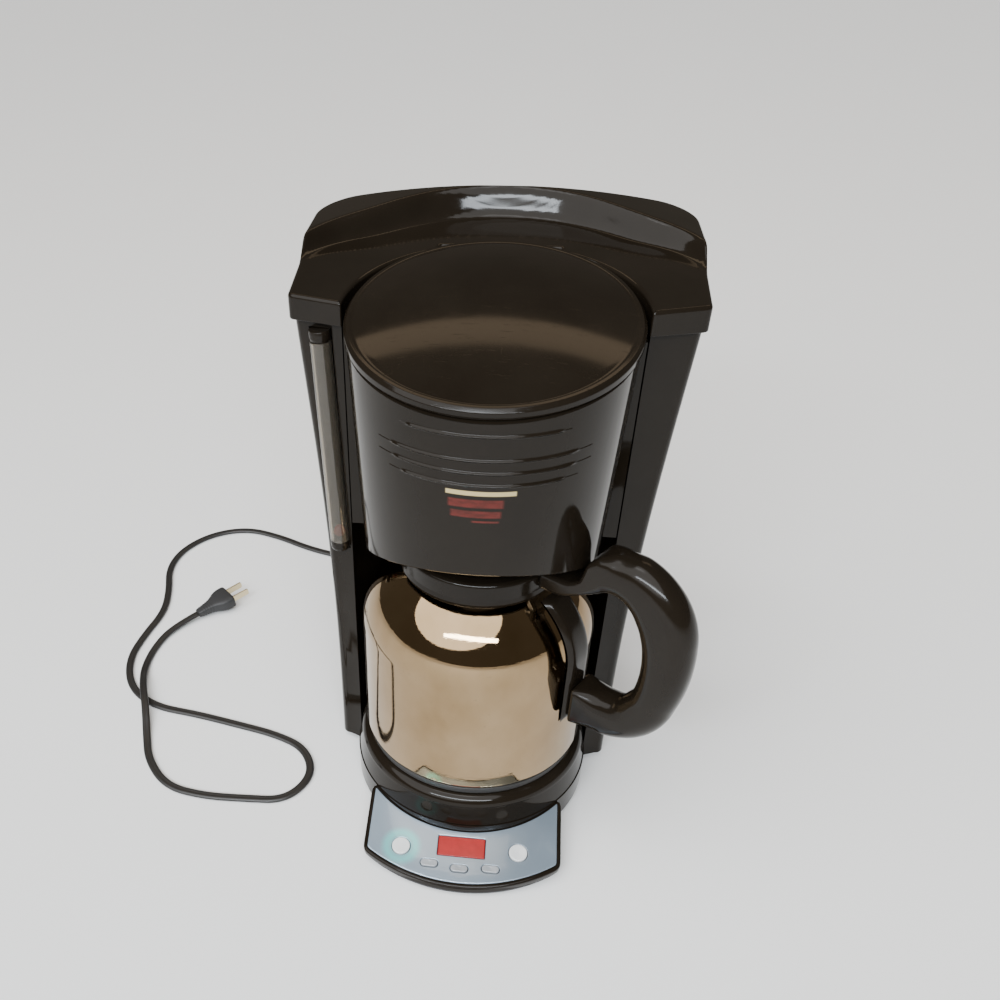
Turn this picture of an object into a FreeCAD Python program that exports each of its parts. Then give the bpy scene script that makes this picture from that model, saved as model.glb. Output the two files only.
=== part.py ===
import FreeCAD, Part
import math
import os
import Sketcher

# A drip coffee maker with a steel carafe.  Millimetres, +Z up, +X to the right of someone
# who stands in front of it, -Y towards them.  The origin is on the table under the middle of
# the carafe's place, which is also the middle of the machine's width.

NODES_FOLDER = "parts"
Vector = FreeCAD.Vector
Rotation = FreeCAD.Rotation
Placement = FreeCAD.Placement

SIZES = {
    # clearances between pieces
    "gap": 0.4, "seat_gap": 0.1, "wall": 2.5,
    # feet and floor plate
    "foot_height": 3.0, "foot_radius": 7.0, "plate_thickness": 2.0, "plate_inset": 0.6,
    # tower: a U in plan, with a pillar on each side of the carafe's alcove
    "alcove_radius": 87.0, "pillar_front_inner": 8.0, "pillar_front_outer": 12.0,
    "pillar_round": 6.0, "tower_half_width": 102.5, "tower_back": 130.0, "tower_corner": 28.0,
    "tower_top": 348.0, "flare_middle": 7.3, "flare_top": 12.8,
    # cap over the tower
    "cap_gap": 2.0, "cap_half_width": 119.0, "cap_front": 9.0, "cap_inner_front": 0.0,
    "cap_corner": 26.0, "cap_nose_round": 4.0, "cap_back_overhang": 4.0, "cap_front_height": 13.5,
    "deck_slope": 0.07, "crown_height": 40.0, "crown_drop": 12.0, "arch_radius": 106.0,
    "arch_half_width": 80.0, "arch_centre": 17.0, "shoulder_radius": 46.0, "shoulder_front": 42.0,
    # lid over the brew column
    "lid_radius": 82.2, "lid_centre": -2.0, "lid_tilt": 10.0, "lid_rim_height": 4.0,
    "lid_dome": 10.0, "lid_bite_gap": 2.8, "lid_over_cap": 4.7, "lid_wall": 2.5,
    "pin_setback": 5.7, "pin_drop": 1.0, "pin_radius": 1.5, "pin_fit": 0.05,
    "post_height": 2.2, "post_half_depth": 2.6, "bracket_width": 16.0, "lug_width": 5.0,
    # brew column
    "column_centre": -5.0, "column_low_radius": 74.0, "column_high_radius": 80.5,
    "column_under_lid": 1.5,
    "column_low": 214.0, "column_wall": 3.0, "column_lip": 243.0, "column_cut_angle": 25.0,
    "ledge_width": 6.0, "column_floor": 226.0, "nozzle_hole": 13.0,
    "rib_size": 1.0, "web_thickness": 5.0,
    # filter basket, its permanent filter and its drip valve
    "basket_rim_radius": 70.0, "basket_radius": 66.0, "basket_floor_radius": 50.0,
    "basket_height": 62.0, "basket_wall": 1.8, "outlet_radius": 5.0, "nozzle_radius": 9.0,
    "nozzle_length": 15.0, "filter_wall": 0.8, "stem_radius": 2.6, "valve_flange_radius": 7.0,
    "stem_end": 219.5, "wire_radius": 0.45, "spring_radius": 5.6, "valve_head_radius": 8.0,
    # spray head and the tubes that carry the water
    "spray_radius": 30.0, "spray_thickness": 5.0, "spray_height": 334.0, "tube_radius": 4.0,
    "tube_wall": 1.2, "tube_run_height": 14.0,
    # water tank and the chute that fills it
    "tank_half_width": 96.0, "tank_front": 96.0, "tank_back_gap": 1.0, "tank_corner": 22.0,
    "tank_low": 40.0, "tank_high": 326.0, "tank_wall": 1.8, "chute_half_width": 38.0,
    "chute_front": 66.0, "chute_depth": 12.0, "chute_wall": 1.6,
    # sight tube on the left pillar
    "gauge_radius": 6.5, "gauge_bore": 4.7, "gauge_low_x": 95.0, "gauge_low": 198.0,
    "gauge_lean": 1.92, "gauge_length": 140.0, "gauge_forward": 3.0, "float_radius": 4.0,
    "float_height": 7.0, "fitting_length": 7.0,
    # base, platform and control panel
    "base_radius": 86.0, "base_top": 24.0, "panel_half_width": 66.3, "panel_corner": 104.5,
    "panel_nose": 127.5, "panel_top": 22.4, "panel_start": 61.0, "panel_tilt": 9.9,
    "panel_thickness": 2.5, "platform_low_radius": 85.4, "platform_high_radius": 83.0,
    "platform_height": 24.0, "platform_round": 8.0, "mat_radius": 60.0, "mat_thickness": 1.0,
    "window_width": 33.0, "window_depth": 15.0, "oval_length": 12.0, "oval_width": 5.4,
    "round_radius": 6.4, "button_proud": 1.2, "button_depth": 1.0, "button_gap": 0.35, "board_height": 6.4,
    "board_thickness": 1.6,
    # heater
    "heater_radius": 52.0, "heater_thickness": 5.0,
    # carafe
    "carafe_radius": 79.0, "carafe_low": 54.0, "carafe_shoulder": 150.0, "dome_height": 60.0,
    "neck_radius": 50.0, "neck_top": 207.0, "carafe_wall": 1.0, "vacuum_gap": 5.0,
    "liner_neck_radius": 43.0, "foot_ring_radius": 77.0, "collar_radius": 52.5,
    "collar_low": 194.0, "collar_top": 212.5, "carafe_lid_radius": 42.0, "carafe_lid_top": 216.5,
    # handle
    "handle_angle": 33.0, "handle_width": 25.0, "handle_reach": 153.0, "handle_top": 248.0,
    "handle_bottom": 103.0, "spine_width": 22.0, "spine_thickness": 4.0,
    # cord, strain relief and plug
    "cord_radius": 3.2, "relief_length": 34.0, "relief_radius": 7.5, "relief_tip_radius": 4.2,
    "cord_exit_x": -72.0, "cord_exit_height": 14.0, "plug_length": 34.0, "plug_width": 24.0,
    "plug_height": 13.0, "blade_length": 17.0, "blade_height": 6.3, "blade_thickness": 1.5,
    "blade_spacing": 12.7,
}

doc = FreeCAD.newDocument("drip_coffee_maker")
sheet = doc.addObject("Spreadsheet::Sheet", "sizes")
for row, (alias, length) in enumerate(SIZES.items(), start=1):
    sheet.set(f"A{row}", alias)
    sheet.set(f"B{row}", str(length))
    sheet.setAlias(f"B{row}", alias)
doc.recompute()


class Size:
    """A length that carries its number and the sheet formula that it comes from."""

    def __init__(self, number, text):
        self.number, self.text = number, text

    def joined(self, sign, other, number, swapped=False):
        mine, theirs = f"({self.text})", f"({as_text(other)})"
        return Size(number, f"{theirs} {sign} {mine}" if swapped else f"{mine} {sign} {theirs}")

    def __add__(self, other):
        return self.joined("+", other, self.number + as_number(other))

    def __radd__(self, other):
        return self + other

    def __sub__(self, other):
        return self.joined("-", other, self.number - as_number(other))

    def __rsub__(self, other):
        return self.joined("-", other, as_number(other) - self.number, True)

    def __mul__(self, other):
        return self.joined("*", other, self.number * as_number(other))

    def __rmul__(self, other):
        return self * other

    def __truediv__(self, other):
        return self.joined("/", other, self.number / as_number(other))

    def __neg__(self):
        return Size(-self.number, f"0 - ({self.text})")


def as_number(value):
    return value.number if isinstance(value, Size) else float(value)


def as_text(value):
    return value.text if isinstance(value, Size) else f"{value:.9g}"


def root(value):
    return Size(math.sqrt(as_number(value)), f"sqrt({as_text(value)})")


def larger(first, second):
    return Size(max(as_number(first), as_number(second)),
                f"max({as_text(first)}; {as_text(second)})")


def sine(degrees):
    return Size(math.sin(math.radians(as_number(degrees))), f"sin(({as_text(degrees)}) * 1 deg)")


def cosine(degrees):
    return Size(math.cos(math.radians(as_number(degrees))), f"cos(({as_text(degrees)}) * 1 deg)")


class Sizes:
    """The sheet's cells by name, as lengths."""

    def __getattr__(self, alias):
        return Size(SIZES[alias], f"sizes.{alias}")


s = Sizes()


def bind(thing, prop, value):
    """Set a property, and tie it to the sheet when the value comes from there."""
    if isinstance(value, Size):
        thing.setExpression(prop, value.text)
    elif "." in prop:
        thing.setExpression(prop, as_text(value))
    else:
        setattr(thing, prop, value)


def put(thing, x=0.0, y=0.0, z=0.0, axis=None, degrees=0.0):
    """Place an object, turned about an axis through its own origin."""
    if axis is not None:
        thing.Placement = Placement(Vector(0, 0, 0), Rotation(Vector(*axis), as_number(degrees)))
        bind(thing, "Placement.Rotation.Angle", degrees)
    for letter, value in zip("xyz", (x, y, z)):
        bind(thing, f"Placement.Base.{letter}", value)
    return thing


# ---------------------------------------------------------------- PartDesign helpers

def new_body(label):
    return doc.addObject("PartDesign::Body", label)


def centre_of_arc(start, end, radius):
    """Centre of the arc from start to end: a positive radius turns left, a negative one right."""
    middle = (start + end) / 2
    half = (end - start).Length / 2
    across = Vector(-(end - start).y, (end - start).x, 0).normalize()
    reach = math.sqrt(max(radius * radius - half * half, 0.0))
    return middle + across * (reach if radius > 0 else -reach)


def draw(body, name, plane, outlines, height=0.0):
    """A sketch of closed outlines.  A corner is (x, y), or (x, y, radius) where an arc of that
    radius leads to it, positive where the arc turns left."""
    sketch = body.newObject("Sketcher::SketchObject", name)
    sketch.AttachmentSupport = [(f, "") for f in body.Origin.OriginFeatures if f.Role == plane]
    sketch.MapMode = "FlatFace"
    bind(sketch, "AttachmentOffset.Base.z", height)
    for corners in outlines:
        ends = [Vector(as_number(c[0]), as_number(c[1]), 0) for c in corners]
        first = sketch.GeometryCount
        tails = []
        for index, corner in enumerate(corners):
            start, end = ends[index - 1], ends[index]
            if len(corner) == 2:
                sketch.addGeometry(Part.LineSegment(start, end))
                tails.append(2)
                continue
            radius = as_number(corner[2])
            centre = centre_of_arc(start, end, radius)
            one, two = (start, end) if radius > 0 else (end, start)
            angles = [math.atan2((p - centre).y, (p - centre).x) for p in (one, two)]
            if angles[1] <= angles[0]:
                angles[1] += 2 * math.pi
            circle = Part.Circle(centre, Vector(0, 0, 1), abs(radius))
            geometry = sketch.addGeometry(Part.ArcOfCircle(circle, *angles))
            tails.append(2 if radius > 0 else 1)
            rule = sketch.addConstraint(Sketcher.Constraint("Radius", geometry, abs(radius)))
            bound = corner[2] if radius > 0 else -corner[2]
            if isinstance(bound, Size):
                sketch.setExpression(f"Constraints[{rule}]", bound.text)
        for index, corner in enumerate(corners):
            this, tail = first + index, tails[index]
            following = (index + 1) % len(corners)
            head = 3 - tails[following]
            sketch.addConstraint(Sketcher.Constraint("Coincident", this, tail,
                                                     first + following, head))
            for kind, value in zip(("DistanceX", "DistanceY"), corner):
                rule = sketch.addConstraint(
                    Sketcher.Constraint(kind, -1, 1, this, tail, as_number(value)))
                if isinstance(value, Size):
                    sketch.setExpression(f"Constraints[{rule}]", value.text)
    return sketch


def round_corners(x, y, radius):
    """A circle as four quarter arcs."""
    return [(x, y - radius), (x + radius, y, radius), (x, y + radius, radius),
            (x - radius, y, radius), (x, y - radius, radius)][1:]


def feature(body, kind, name, profile, **settings):
    made = body.newObject(f"PartDesign::{kind}", name)
    made.Profile = profile
    for prop, value in settings.items():
        bind(made, prop, value)
    return made


def pad(body, name, profile, length, **settings):
    return feature(body, "Pad", name, profile, Length=length, **settings)


def through_pocket(body, name, profile, both=True):
    made = feature(body, "Pocket", name, profile, Type="ThroughAll")
    made.SideType = "Symmetric" if both else "One side"
    return made


def middle_pad(body, name, profile, length):
    made = pad(body, name, profile, length)
    made.SideType = "Symmetric"
    return made


def turned(body, name, corners, kind="Revolution"):
    """Turn an outline of (radius, height) corners about the body's Z axis."""
    profile = draw(body, f"{name}_outline", "XZ_Plane", [corners])
    return feature(body, kind, name, profile, ReferenceAxis=(profile, ["V_Axis"]), Angle=360.0)


def box_cut(body, name, x, y, low, high):
    """Cut a box out of a body; x and y are (low, high) pairs."""
    corners = [(x[0], y[0]), (x[1], y[0]), (x[1], y[1]), (x[0], y[1])]
    profile = draw(body, f"{name}_outline", "XY_Plane", [corners], low)
    cut = feature(body, "Pocket", name, profile, Length=high - low)
    cut.Reversed = True
    return cut


def box_add(body, name, x, y, low, high):
    corners = [(x[0], y[0]), (x[1], y[0]), (x[1], y[1]), (x[0], y[1])]
    profile = draw(body, f"{name}_outline", "XY_Plane", [corners], low)
    return pad(body, name, profile, high - low)


def round_edges(body, name, wanted, radius):
    """Fillet the edges of the body whose middle passes the test."""
    doc.recompute()
    tip = body.Tip
    found = [f"Edge{i}" for i, e in enumerate(tip.Shape.Edges, start=1)
             if wanted(e, e.valueAt((e.FirstParameter + e.LastParameter) / 2))]
    made = body.newObject("PartDesign::Fillet", name)
    made.Base = (tip, found)
    bind(made, "Radius", radius)
    return made


# ---------------------------------------------------------------- Part helpers

def part(kind, name, sizes, x=0.0, y=0.0, z=0.0, axis=None, degrees=0.0):
    made = doc.addObject(f"Part::{kind}", name)
    for prop, value in sizes.items():
        bind(made, prop, value)
    return put(made, x, y, z, axis, degrees)


def cylinder(name, radius, height, *place, **turn):
    return part("Cylinder", name, {"Radius": radius, "Height": height}, *place, **turn)


def block(name, x, y, z):
    """A box from three (low, high) pairs."""
    sizes = {"Length": x[1] - x[0], "Width": y[1] - y[0], "Height": z[1] - z[0]}
    return part("Box", name, sizes, x[0], y[0], z[0])


def cut(name, base, tool):
    made = doc.addObject("Part::Cut", name)
    made.Base, made.Tool = base, tool
    return made


def fuse(name, pieces):
    made = doc.addObject("Part::MultiFuse", name)
    made.Shapes = pieces
    return made


def group(name, pieces):
    """Several equal pieces that stay separate solids."""
    made = doc.addObject("Part::Compound", name)
    made.Links = pieces
    return made


def ring(name, outer, inner, height, *place, **turn):
    whole = cylinder(f"{name}_outer", outer, height, *place, **turn)
    bore = cylinder(f"{name}_bore", inner, height, *place, **turn)
    return cut(name, whole, bore)


def rounded_route(points):
    """Edges of straight runs and tangent arcs.  An arc's radius is 0.45 of the shorter run
    beside it, divided by the tangent of half the turn."""
    points = [Vector(*p) for p in points]
    edges, radii = [], []
    start = points[0]
    for before, here, after in zip(points, points[1:], points[2:]):
        back, on = (before - here), (after - here)
        turn = math.pi - back.getAngle(on)
        reach = 0.45 * min(back.Length, on.Length)
        radii.append(reach / math.tan(turn / 2))
        back.normalize()
        on.normalize()
        first, last = here + back * reach, here + on * reach
        inward = (back + on).normalize()
        centre = here + inward * (radii[-1] / math.cos(turn / 2))
        middle = centre - inward * radii[-1]
        edges += [Part.LineSegment(start, first).toShape(), Part.Arc(first, middle, last).toShape()]
        start = last
    edges.append(Part.LineSegment(start, points[-1]).toShape())
    return Part.Wire(edges), radii


def sweep(route, radius):
    start = route.Edges[0]
    circle = Part.Circle(start.valueAt(start.FirstParameter),
                         start.tangentAt(start.FirstParameter), radius)
    return route.makePipeShell([Part.Wire(circle.toShape())], True, False)


def tube(name, points, radius, bore=0.0):
    """A tube along a route of runs and arcs, with its volume compared with section by length."""
    route, radii = rounded_route([[as_number(c) for c in p] for p in points])
    shape = sweep(route, radius)
    section = math.pi * (radius ** 2 - bore ** 2)
    if bore:
        shape = shape.cut(sweep(route, bore))
    made = doc.addObject("Part::Feature", name)
    made.Shape = shape
    print(f"{name}: {route.Length:.0f} mm long, radii {[round(r) for r in radii]}, "
          f"volume over section times length {shape.Volume / (section * route.Length):.4f}")
    return made


nodes = []


def keep(thing, label):
    thing.Label = label
    nodes.append(thing)
    return thing


# ---------------------------------------------------------------- feet and floor plate

plate_low = s.foot_height
shell_low = s.foot_height + s.plate_thickness + s.gap / 2

feet = []
for index, (x, y) in enumerate([(-1, 1), (1, 1), (-1, 0), (1, 0), (0, -1)]):
    foot_x = x * (s.tower_half_width - 18.0)
    foot_y = {1: s.tower_back - 24.0, 0: s.pillar_front_outer + 16.0, -1: -(s.panel_corner - 4.0)}[y]
    feet.append(cylinder(f"foot_{index}", s.foot_radius, s.foot_height, foot_x, foot_y))
feet.append(cylinder("foot_middle", s.foot_radius, s.foot_height, 0.0, 0.0))
keep(group("feet_group", feet), "feet")

cover = new_body("cover")
inset = s.plate_inset


def cover_pad(name, outline):
    pad(cover, name, draw(cover, f"{name}_outline", "XY_Plane", [outline], plate_low),
        s.plate_thickness)


cover_side, cover_back = s.tower_half_width - inset, s.tower_back - inset
bend_x, bend_y = s.tower_half_width - s.tower_corner, s.tower_back - s.tower_corner
cover_pad("rear", [
    (cover_side, s.pillar_front_outer + s.pillar_round), (cover_side, bend_y),
    (bend_x, cover_back, s.tower_corner - inset), (-bend_x, cover_back),
    (-cover_side, bend_y, s.tower_corner - inset),
    (-cover_side, s.pillar_front_outer + s.pillar_round)])


def panel_outline(inset, rear):
    """The front of the base in plan: straight sides and a bowed nose."""
    side, corner, nose = s.panel_half_width - inset, s.panel_corner - inset, s.panel_nose - inset
    bow = (side * side + (nose - corner) * (nose - corner)) / ((nose - corner) * 2)
    return [(-side, -rear), (-side, -corner), (side, -corner, bow), (side, -rear)]


cover_pad("front", panel_outline(inset, 30.0))
cover_pad("disc", round_corners(0.0, 0.0, s.base_radius - inset))
keep(cover, "base_cover")

screws = []
for index, (x, y) in enumerate([(-60, 112), (60, 112), (-92, 50), (92, 50), (-40, -80), (40, -80)]):
    screws.append(cylinder(f"base_screw_{index}", 3.0, 1.2, x, y, plate_low - 1.4))
keep(group("base_screw_group", screws), "base_screws")

# ---------------------------------------------------------------- tower


def tower_outline(half_width, inset):
    """The tower's U in plan, inset by a wall."""
    alcove = s.alcove_radius + inset
    front = s.pillar_front_inner + inset
    alcove_x = root(alcove * alcove - front * front)
    outer_front = s.pillar_front_outer + inset
    side, back = half_width - inset, s.tower_back - inset
    turn = half_width - s.pillar_round
    bend_x, bend_y = half_width - s.tower_corner, s.tower_back - s.tower_corner
    nose_y = s.pillar_front_outer + s.pillar_round
    nose, corner = s.pillar_round - inset, s.tower_corner - inset
    return [(alcove_x, front, -alcove), (turn, outer_front), (side, nose_y, nose),
            (side, bend_y), (bend_x, back, corner), (-bend_x, back), (-side, bend_y, corner),
            (-side, nose_y), (-turn, outer_front, nose), (-alcove_x, front)]


tower = new_body("tower")
levels = [(shell_low, 0.0), (s.tower_top * 0.345, 0.2), (s.tower_top * 0.59, 3.0),
          (s.tower_top * 0.79, s.flare_middle), (s.tower_top, s.flare_top)]
for kind, name, inset in (("AdditiveLoft", "outside", 0.0), ("SubtractiveLoft", "inside", s.wall)):
    sections = [draw(tower, f"{name}_{i}", "XY_Plane",
                     [tower_outline(s.tower_half_width + flare, inset)], height)
                for i, (height, flare) in enumerate(levels)]
    loft = feature(tower, kind, name, sections[0])
    loft.Sections = sections[1:]
doc.recompute()
duct_half_width = 74.0
box_cut(tower, "duct", (-duct_half_width, duct_half_width), (40.0, s.tank_front - 2.0),
        shell_low - 1.0, s.base_top - 3.0)
chute_top = s.tower_top - 7.0
chute_low = chute_top - s.chute_depth
box_cut(tower, "chute_mouth", (-(s.chute_half_width + s.gap), s.chute_half_width + s.gap),
        (s.chute_front, s.tank_front - 2.0), chute_low - s.gap, s.tower_top + 1.0)

gauge_y = s.pillar_front_outer - s.gauge_forward
groove = draw(tower, "gauge_groove_outline", "XZ_Plane", [[
    (-(s.gauge_low_x - s.gauge_radius - s.gap), s.gauge_low - s.fitting_length - s.gap),
    (-(s.gauge_low_x - s.gauge_radius - s.gap) - s.gauge_length * sine(s.gauge_lean),
     s.gauge_low + s.gauge_length + s.fitting_length + s.gap),
    (-(s.gauge_low_x + s.gauge_radius + s.gap) - s.gauge_length * sine(s.gauge_lean),
     s.gauge_low + s.gauge_length + s.fitting_length + s.gap),
    (-(s.gauge_low_x + s.gauge_radius + s.gap), s.gauge_low - s.fitting_length - s.gap)]],
    -(gauge_y + s.gauge_radius + s.gap))
groove_cut = feature(tower, "Pocket", "gauge_groove", groove, Length=s.gauge_radius * 4)
groove_cut.Reversed = True
relief_y = s.tower_back - s.wall
cord_hole = draw(tower, "cord_hole_outline", "XZ_Plane", [
    round_corners(s.cord_exit_x, s.cord_exit_height, s.relief_radius)], -(s.tower_back + 1.0))
cord_cut = feature(tower, "Pocket", "cord_hole", cord_hole, Length=s.wall + 2.0)
cord_cut.Reversed = True
keep(tower, "tower_housing")

# ---------------------------------------------------------------- cap

cap = new_body("cap")
cap_low = s.tower_top + s.cap_gap
cap_back = s.tower_back + s.cap_back_overhang
bite = larger(s.lid_radius, s.column_high_radius + s.column_under_lid) + s.lid_bite_gap
deck_rear = cap_low + s.cap_front_height + s.deck_slope * (cap_back + 10.0)
deck = draw(cap, "deck_side", "YZ_Plane", [[
    (-10.0, cap_low), (cap_back, cap_low), (cap_back, deck_rear),
    (-10.0, cap_low + s.cap_front_height)]])
middle_pad(cap, "deck", deck, s.cap_half_width * 2)
arch_end = s.arch_centre + root(s.arch_radius * s.arch_radius
                                - s.arch_half_width * s.arch_half_width)
plateau = draw(cap, "plateau_outline", "XY_Plane", [[
    (s.cap_half_width, s.shoulder_front), (s.cap_half_width, cap_back),
    (-s.cap_half_width, cap_back), (-s.cap_half_width, s.shoulder_front),
    (-s.arch_half_width, arch_end, -s.shoulder_radius),
    (s.arch_half_width, arch_end, -s.arch_radius),
    (s.cap_half_width, s.shoulder_front, -s.shoulder_radius)][1:]], cap_low)
pad(cap, "plateau", plateau, s.crown_height + 10.0)
crown_edge = cap_low + s.crown_height - s.crown_drop
crown_radius = (s.cap_half_width * s.cap_half_width
                + s.crown_drop * s.crown_drop) / (s.crown_drop * 2)
crown = draw(cap, "crown_outline", "XZ_Plane", [[
    (s.cap_half_width, crown_edge), (s.cap_half_width, cap_low + s.crown_height + 20.0),
    (-s.cap_half_width, cap_low + s.crown_height + 20.0), (-s.cap_half_width, crown_edge),
    (s.cap_half_width, crown_edge, -crown_radius)][1:]])
through_pocket(cap, "crown", crown)


def cap_outline(inset):
    """The cap in plan, with the bite that its lid sits in, inset by a wall."""
    edge = bite + inset
    front = s.cap_inner_front + inset
    edge_x = root(edge * edge - (front - s.lid_centre) * (front - s.lid_centre))
    side, back = s.cap_half_width - inset, cap_back - inset
    bend_x, bend_y = s.cap_half_width - s.cap_corner, cap_back - s.cap_corner
    nose_x, nose_y = s.cap_half_width - s.cap_nose_round, s.cap_front + s.cap_nose_round
    nose, corner = s.cap_nose_round - inset, s.cap_corner - inset
    return [(edge_x, front, -edge), (nose_x, s.cap_front + inset), (side, nose_y, nose),
            (side, bend_y), (bend_x, back, corner), (-bend_x, back), (-side, bend_y, corner),
            (-side, nose_y), (-nose_x, s.cap_front + inset, nose), (-edge_x, front)]


far = s.cap_half_width * 2
trim = draw(cap, "trim_outline", "XY_Plane",
            [[(far, -far), (far, far), (-far, far), (-far, -far)], cap_outline(0.0)], cap_low)
through_pocket(cap, "trim", trim)
hollow = draw(cap, "hollow_outline", "XY_Plane", [cap_outline(s.wall)], cap_low)
hollow_cut = feature(cap, "Pocket", "hollow", hollow, Length=s.cap_front_height - s.wall)
hollow_cut.Reversed = True
pin_y = s.lid_centre + (s.lid_radius - s.pin_setback) * cosine(s.lid_tilt) \
    + s.pin_drop * sine(s.lid_tilt)
lid_low = cap_low + s.lid_over_cap
pin_z = lid_low + (s.lid_radius - s.pin_setback) * sine(s.lid_tilt) - s.pin_drop * cosine(s.lid_tilt)
relief = s.lid_radius * 0.44
box_cut(cap, "lid_relief", (-relief, relief), (pin_y - 4.0, pin_y + 6.7), pin_z - 1.2, pin_z + 6.0)
half_bracket = s.bracket_width / 2
bracket_side = (-half_bracket, half_bracket)
box_add(cap, "bracket_arm", bracket_side, (pin_y - s.post_half_depth, s.lid_centre + bite + 1.0),
        cap_low + 1.0, cap_low + 5.0)
box_add(cap, "bracket_post", bracket_side, (pin_y - s.post_half_depth, pin_y + s.post_half_depth),
        cap_low + 1.0, pin_z + s.post_height)
bore = draw(cap, "pin_bore_outline", "YZ_Plane", [round_corners(pin_y, pin_z, s.pin_radius)])
bore_cut = feature(cap, "Pocket", "pin_bore", bore, Length=s.bracket_width + 2.0)
bore_cut.SideType = "Symmetric"
keep(cap, "top_cap")

pin_half_length = half_bracket + s.gap + s.lug_width
pin = cylinder("hinge_pin", s.pin_radius, pin_half_length * 2, -pin_half_length, pin_y, pin_z,
               axis=(0, 1, 0), degrees=90.0)
keep(pin, "lid_hinge_pin")

# ---------------------------------------------------------------- lid

lid = new_body("lid")
rim_top = s.lid_rim_height
crown_top = rim_top + s.lid_dome
shoulder = s.lid_radius - 2.6
dome_radius = (shoulder * shoulder + (s.lid_dome - 1.2) * (s.lid_dome - 1.2)) \
    / ((s.lid_dome - 1.2) * 2)
inner_rim = s.lid_radius - s.lid_wall
inner_dome = s.lid_dome - 1.0
inner_radius = (inner_rim * inner_rim + inner_dome * inner_dome) / (inner_dome * 2)
turned(lid, "dome", [
    (s.lid_radius, 0.0), (s.lid_radius, rim_top - 0.8), (s.lid_radius - 0.8, rim_top, 0.8),
    (shoulder, rim_top + 1.2), (0.0, crown_top, dome_radius),
    (0.0, rim_top - s.lid_wall + inner_dome + 1.0), (inner_rim, rim_top - s.lid_wall + 1.0,
                                                      -inner_radius), (inner_rim, 0.0)])
pin_back = s.lid_radius - s.pin_setback
box_cut(lid, "bracket_notch", (-(half_bracket + s.gap), half_bracket + s.gap),
        (pin_back - 4.0, s.lid_radius + 1.0), -1.0, rim_top - 1.2)
for name, sign in (("left", -1), ("right", 1)):
    near, away = sign * (half_bracket + s.gap), sign * pin_half_length
    x = (near, away) if sign > 0 else (away, near)
    box_add(lid, f"lug_{name}", x, (pin_back - 3.0, pin_back + 2.8), -4.0, rim_top - 1.0)
lid_bore_radius = s.pin_radius + s.pin_fit
lid_bore = draw(lid, "lug_bore_outline", "YZ_Plane",
                [round_corners(pin_back, -s.pin_drop, lid_bore_radius)])
lug_cut = feature(lid, "Pocket", "lug_bore", lid_bore, Length=pin_half_length * 2 + 2.0)
lug_cut.SideType = "Symmetric"
put(lid, 0.0, s.lid_centre, lid_low, axis=(1, 0, 0), degrees=s.lid_tilt)
keep(lid, "brew_lid")

# ---------------------------------------------------------------- brew column

column = new_body("column")
column_high = s.tower_top + 22.0
grow = (s.column_high_radius - s.column_low_radius) / (s.tower_top - s.column_low)


def column_radius(height):
    """The column widens evenly from its low edge to the top of the tower and on."""
    return s.column_low_radius + grow * (height - s.column_low)


ledge_top = s.spray_height - 8.0
ledge_inner = column_radius(ledge_top) - s.column_wall - s.ledge_width
floor_top = s.column_floor + 2.0
funnel_edge = s.column_floor + 20.0
inner_low = column_radius(funnel_edge) - s.column_wall
turned(column, "wall_and_funnel", [
    (column_radius(s.column_low), s.column_low), (column_radius(column_high), column_high),
    (column_radius(column_high) - s.column_wall, column_high),
    (column_radius(ledge_top) - s.column_wall, ledge_top), (ledge_inner, ledge_top),
    (ledge_inner, ledge_top - 2.0),
    (column_radius(ledge_top) - s.column_wall, ledge_top - 2.0 - s.ledge_width),
    (inner_low, funnel_edge + 2.5), (s.nozzle_hole + 16.0, floor_top), (s.nozzle_hole, floor_top),
    (s.nozzle_hole, s.column_floor), (s.nozzle_hole + 16.0, s.column_floor),
    (inner_low, funnel_edge), (column_radius(s.column_low) - s.column_wall, s.column_low)])
RIBS = [(332.0, 44.0), (317.6, 56.0), (310.0, 56.0), (302.4, 50.0)]
for index, (height, half_chord) in enumerate(RIBS):
    radius = column_radius(height)
    profile = draw(column, f"rib_{index}_outline", "YZ_Plane", [[
        (-radius + 0.6, height - s.rib_size), (-radius - s.rib_size * 0.7, height),
        (-radius + 0.6, height + s.rib_size)]])
    rib = feature(column, "Revolution", f"rib_{index}", profile,
                  ReferenceAxis=(profile, ["V_Axis"]),
                  Angle=2 * math.degrees(math.asin(half_chord / radius.number)))
    rib.Midplane = True
column_web = s.alcove_radius - s.gap
for name, sign in (("left", -1), ("right", 1)):
    near = sign * (s.column_low_radius - 2.0)
    away = sign * (root(column_web * column_web - 15.0 * 15.0))
    x = (near, away) if sign > 0 else (away, near)
    box_add(column, f"web_{name}", x, (10.0 - s.column_centre - s.web_thickness,
                                      10.0 - s.column_centre), s.column_low, s.tower_top - 3.0)
lip_y = -s.column_low_radius - 1.2
slope = sine(s.column_cut_angle) / cosine(s.column_cut_angle)
under = draw(column, "under_cut_outline", "YZ_Plane", [[
    (lip_y - 20.0, s.column_low - 10.0), (30.0, s.column_low - 10.0),
    (lip_y + (s.column_lip - s.column_low) / slope, s.column_low),
    (lip_y, s.column_lip), (lip_y - 20.0, s.column_lip)]])
under_cut = feature(column, "Pocket", "under_cut", under, Length=s.column_high_radius * 3)
under_cut.SideType = "Symmetric"
tilt = sine(s.lid_tilt) / cosine(s.lid_tilt)
top_middle = lid_low + (s.column_centre - s.lid_centre) * tilt - s.gap * 2
top_reach = 110.0
top_cut = draw(column, "top_cut_outline", "YZ_Plane", [[
    (-top_reach, top_middle - tilt * top_reach), (top_reach, top_middle + tilt * top_reach),
    (top_reach, column_high + 30.0), (-top_reach, column_high + 30.0)]])
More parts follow.
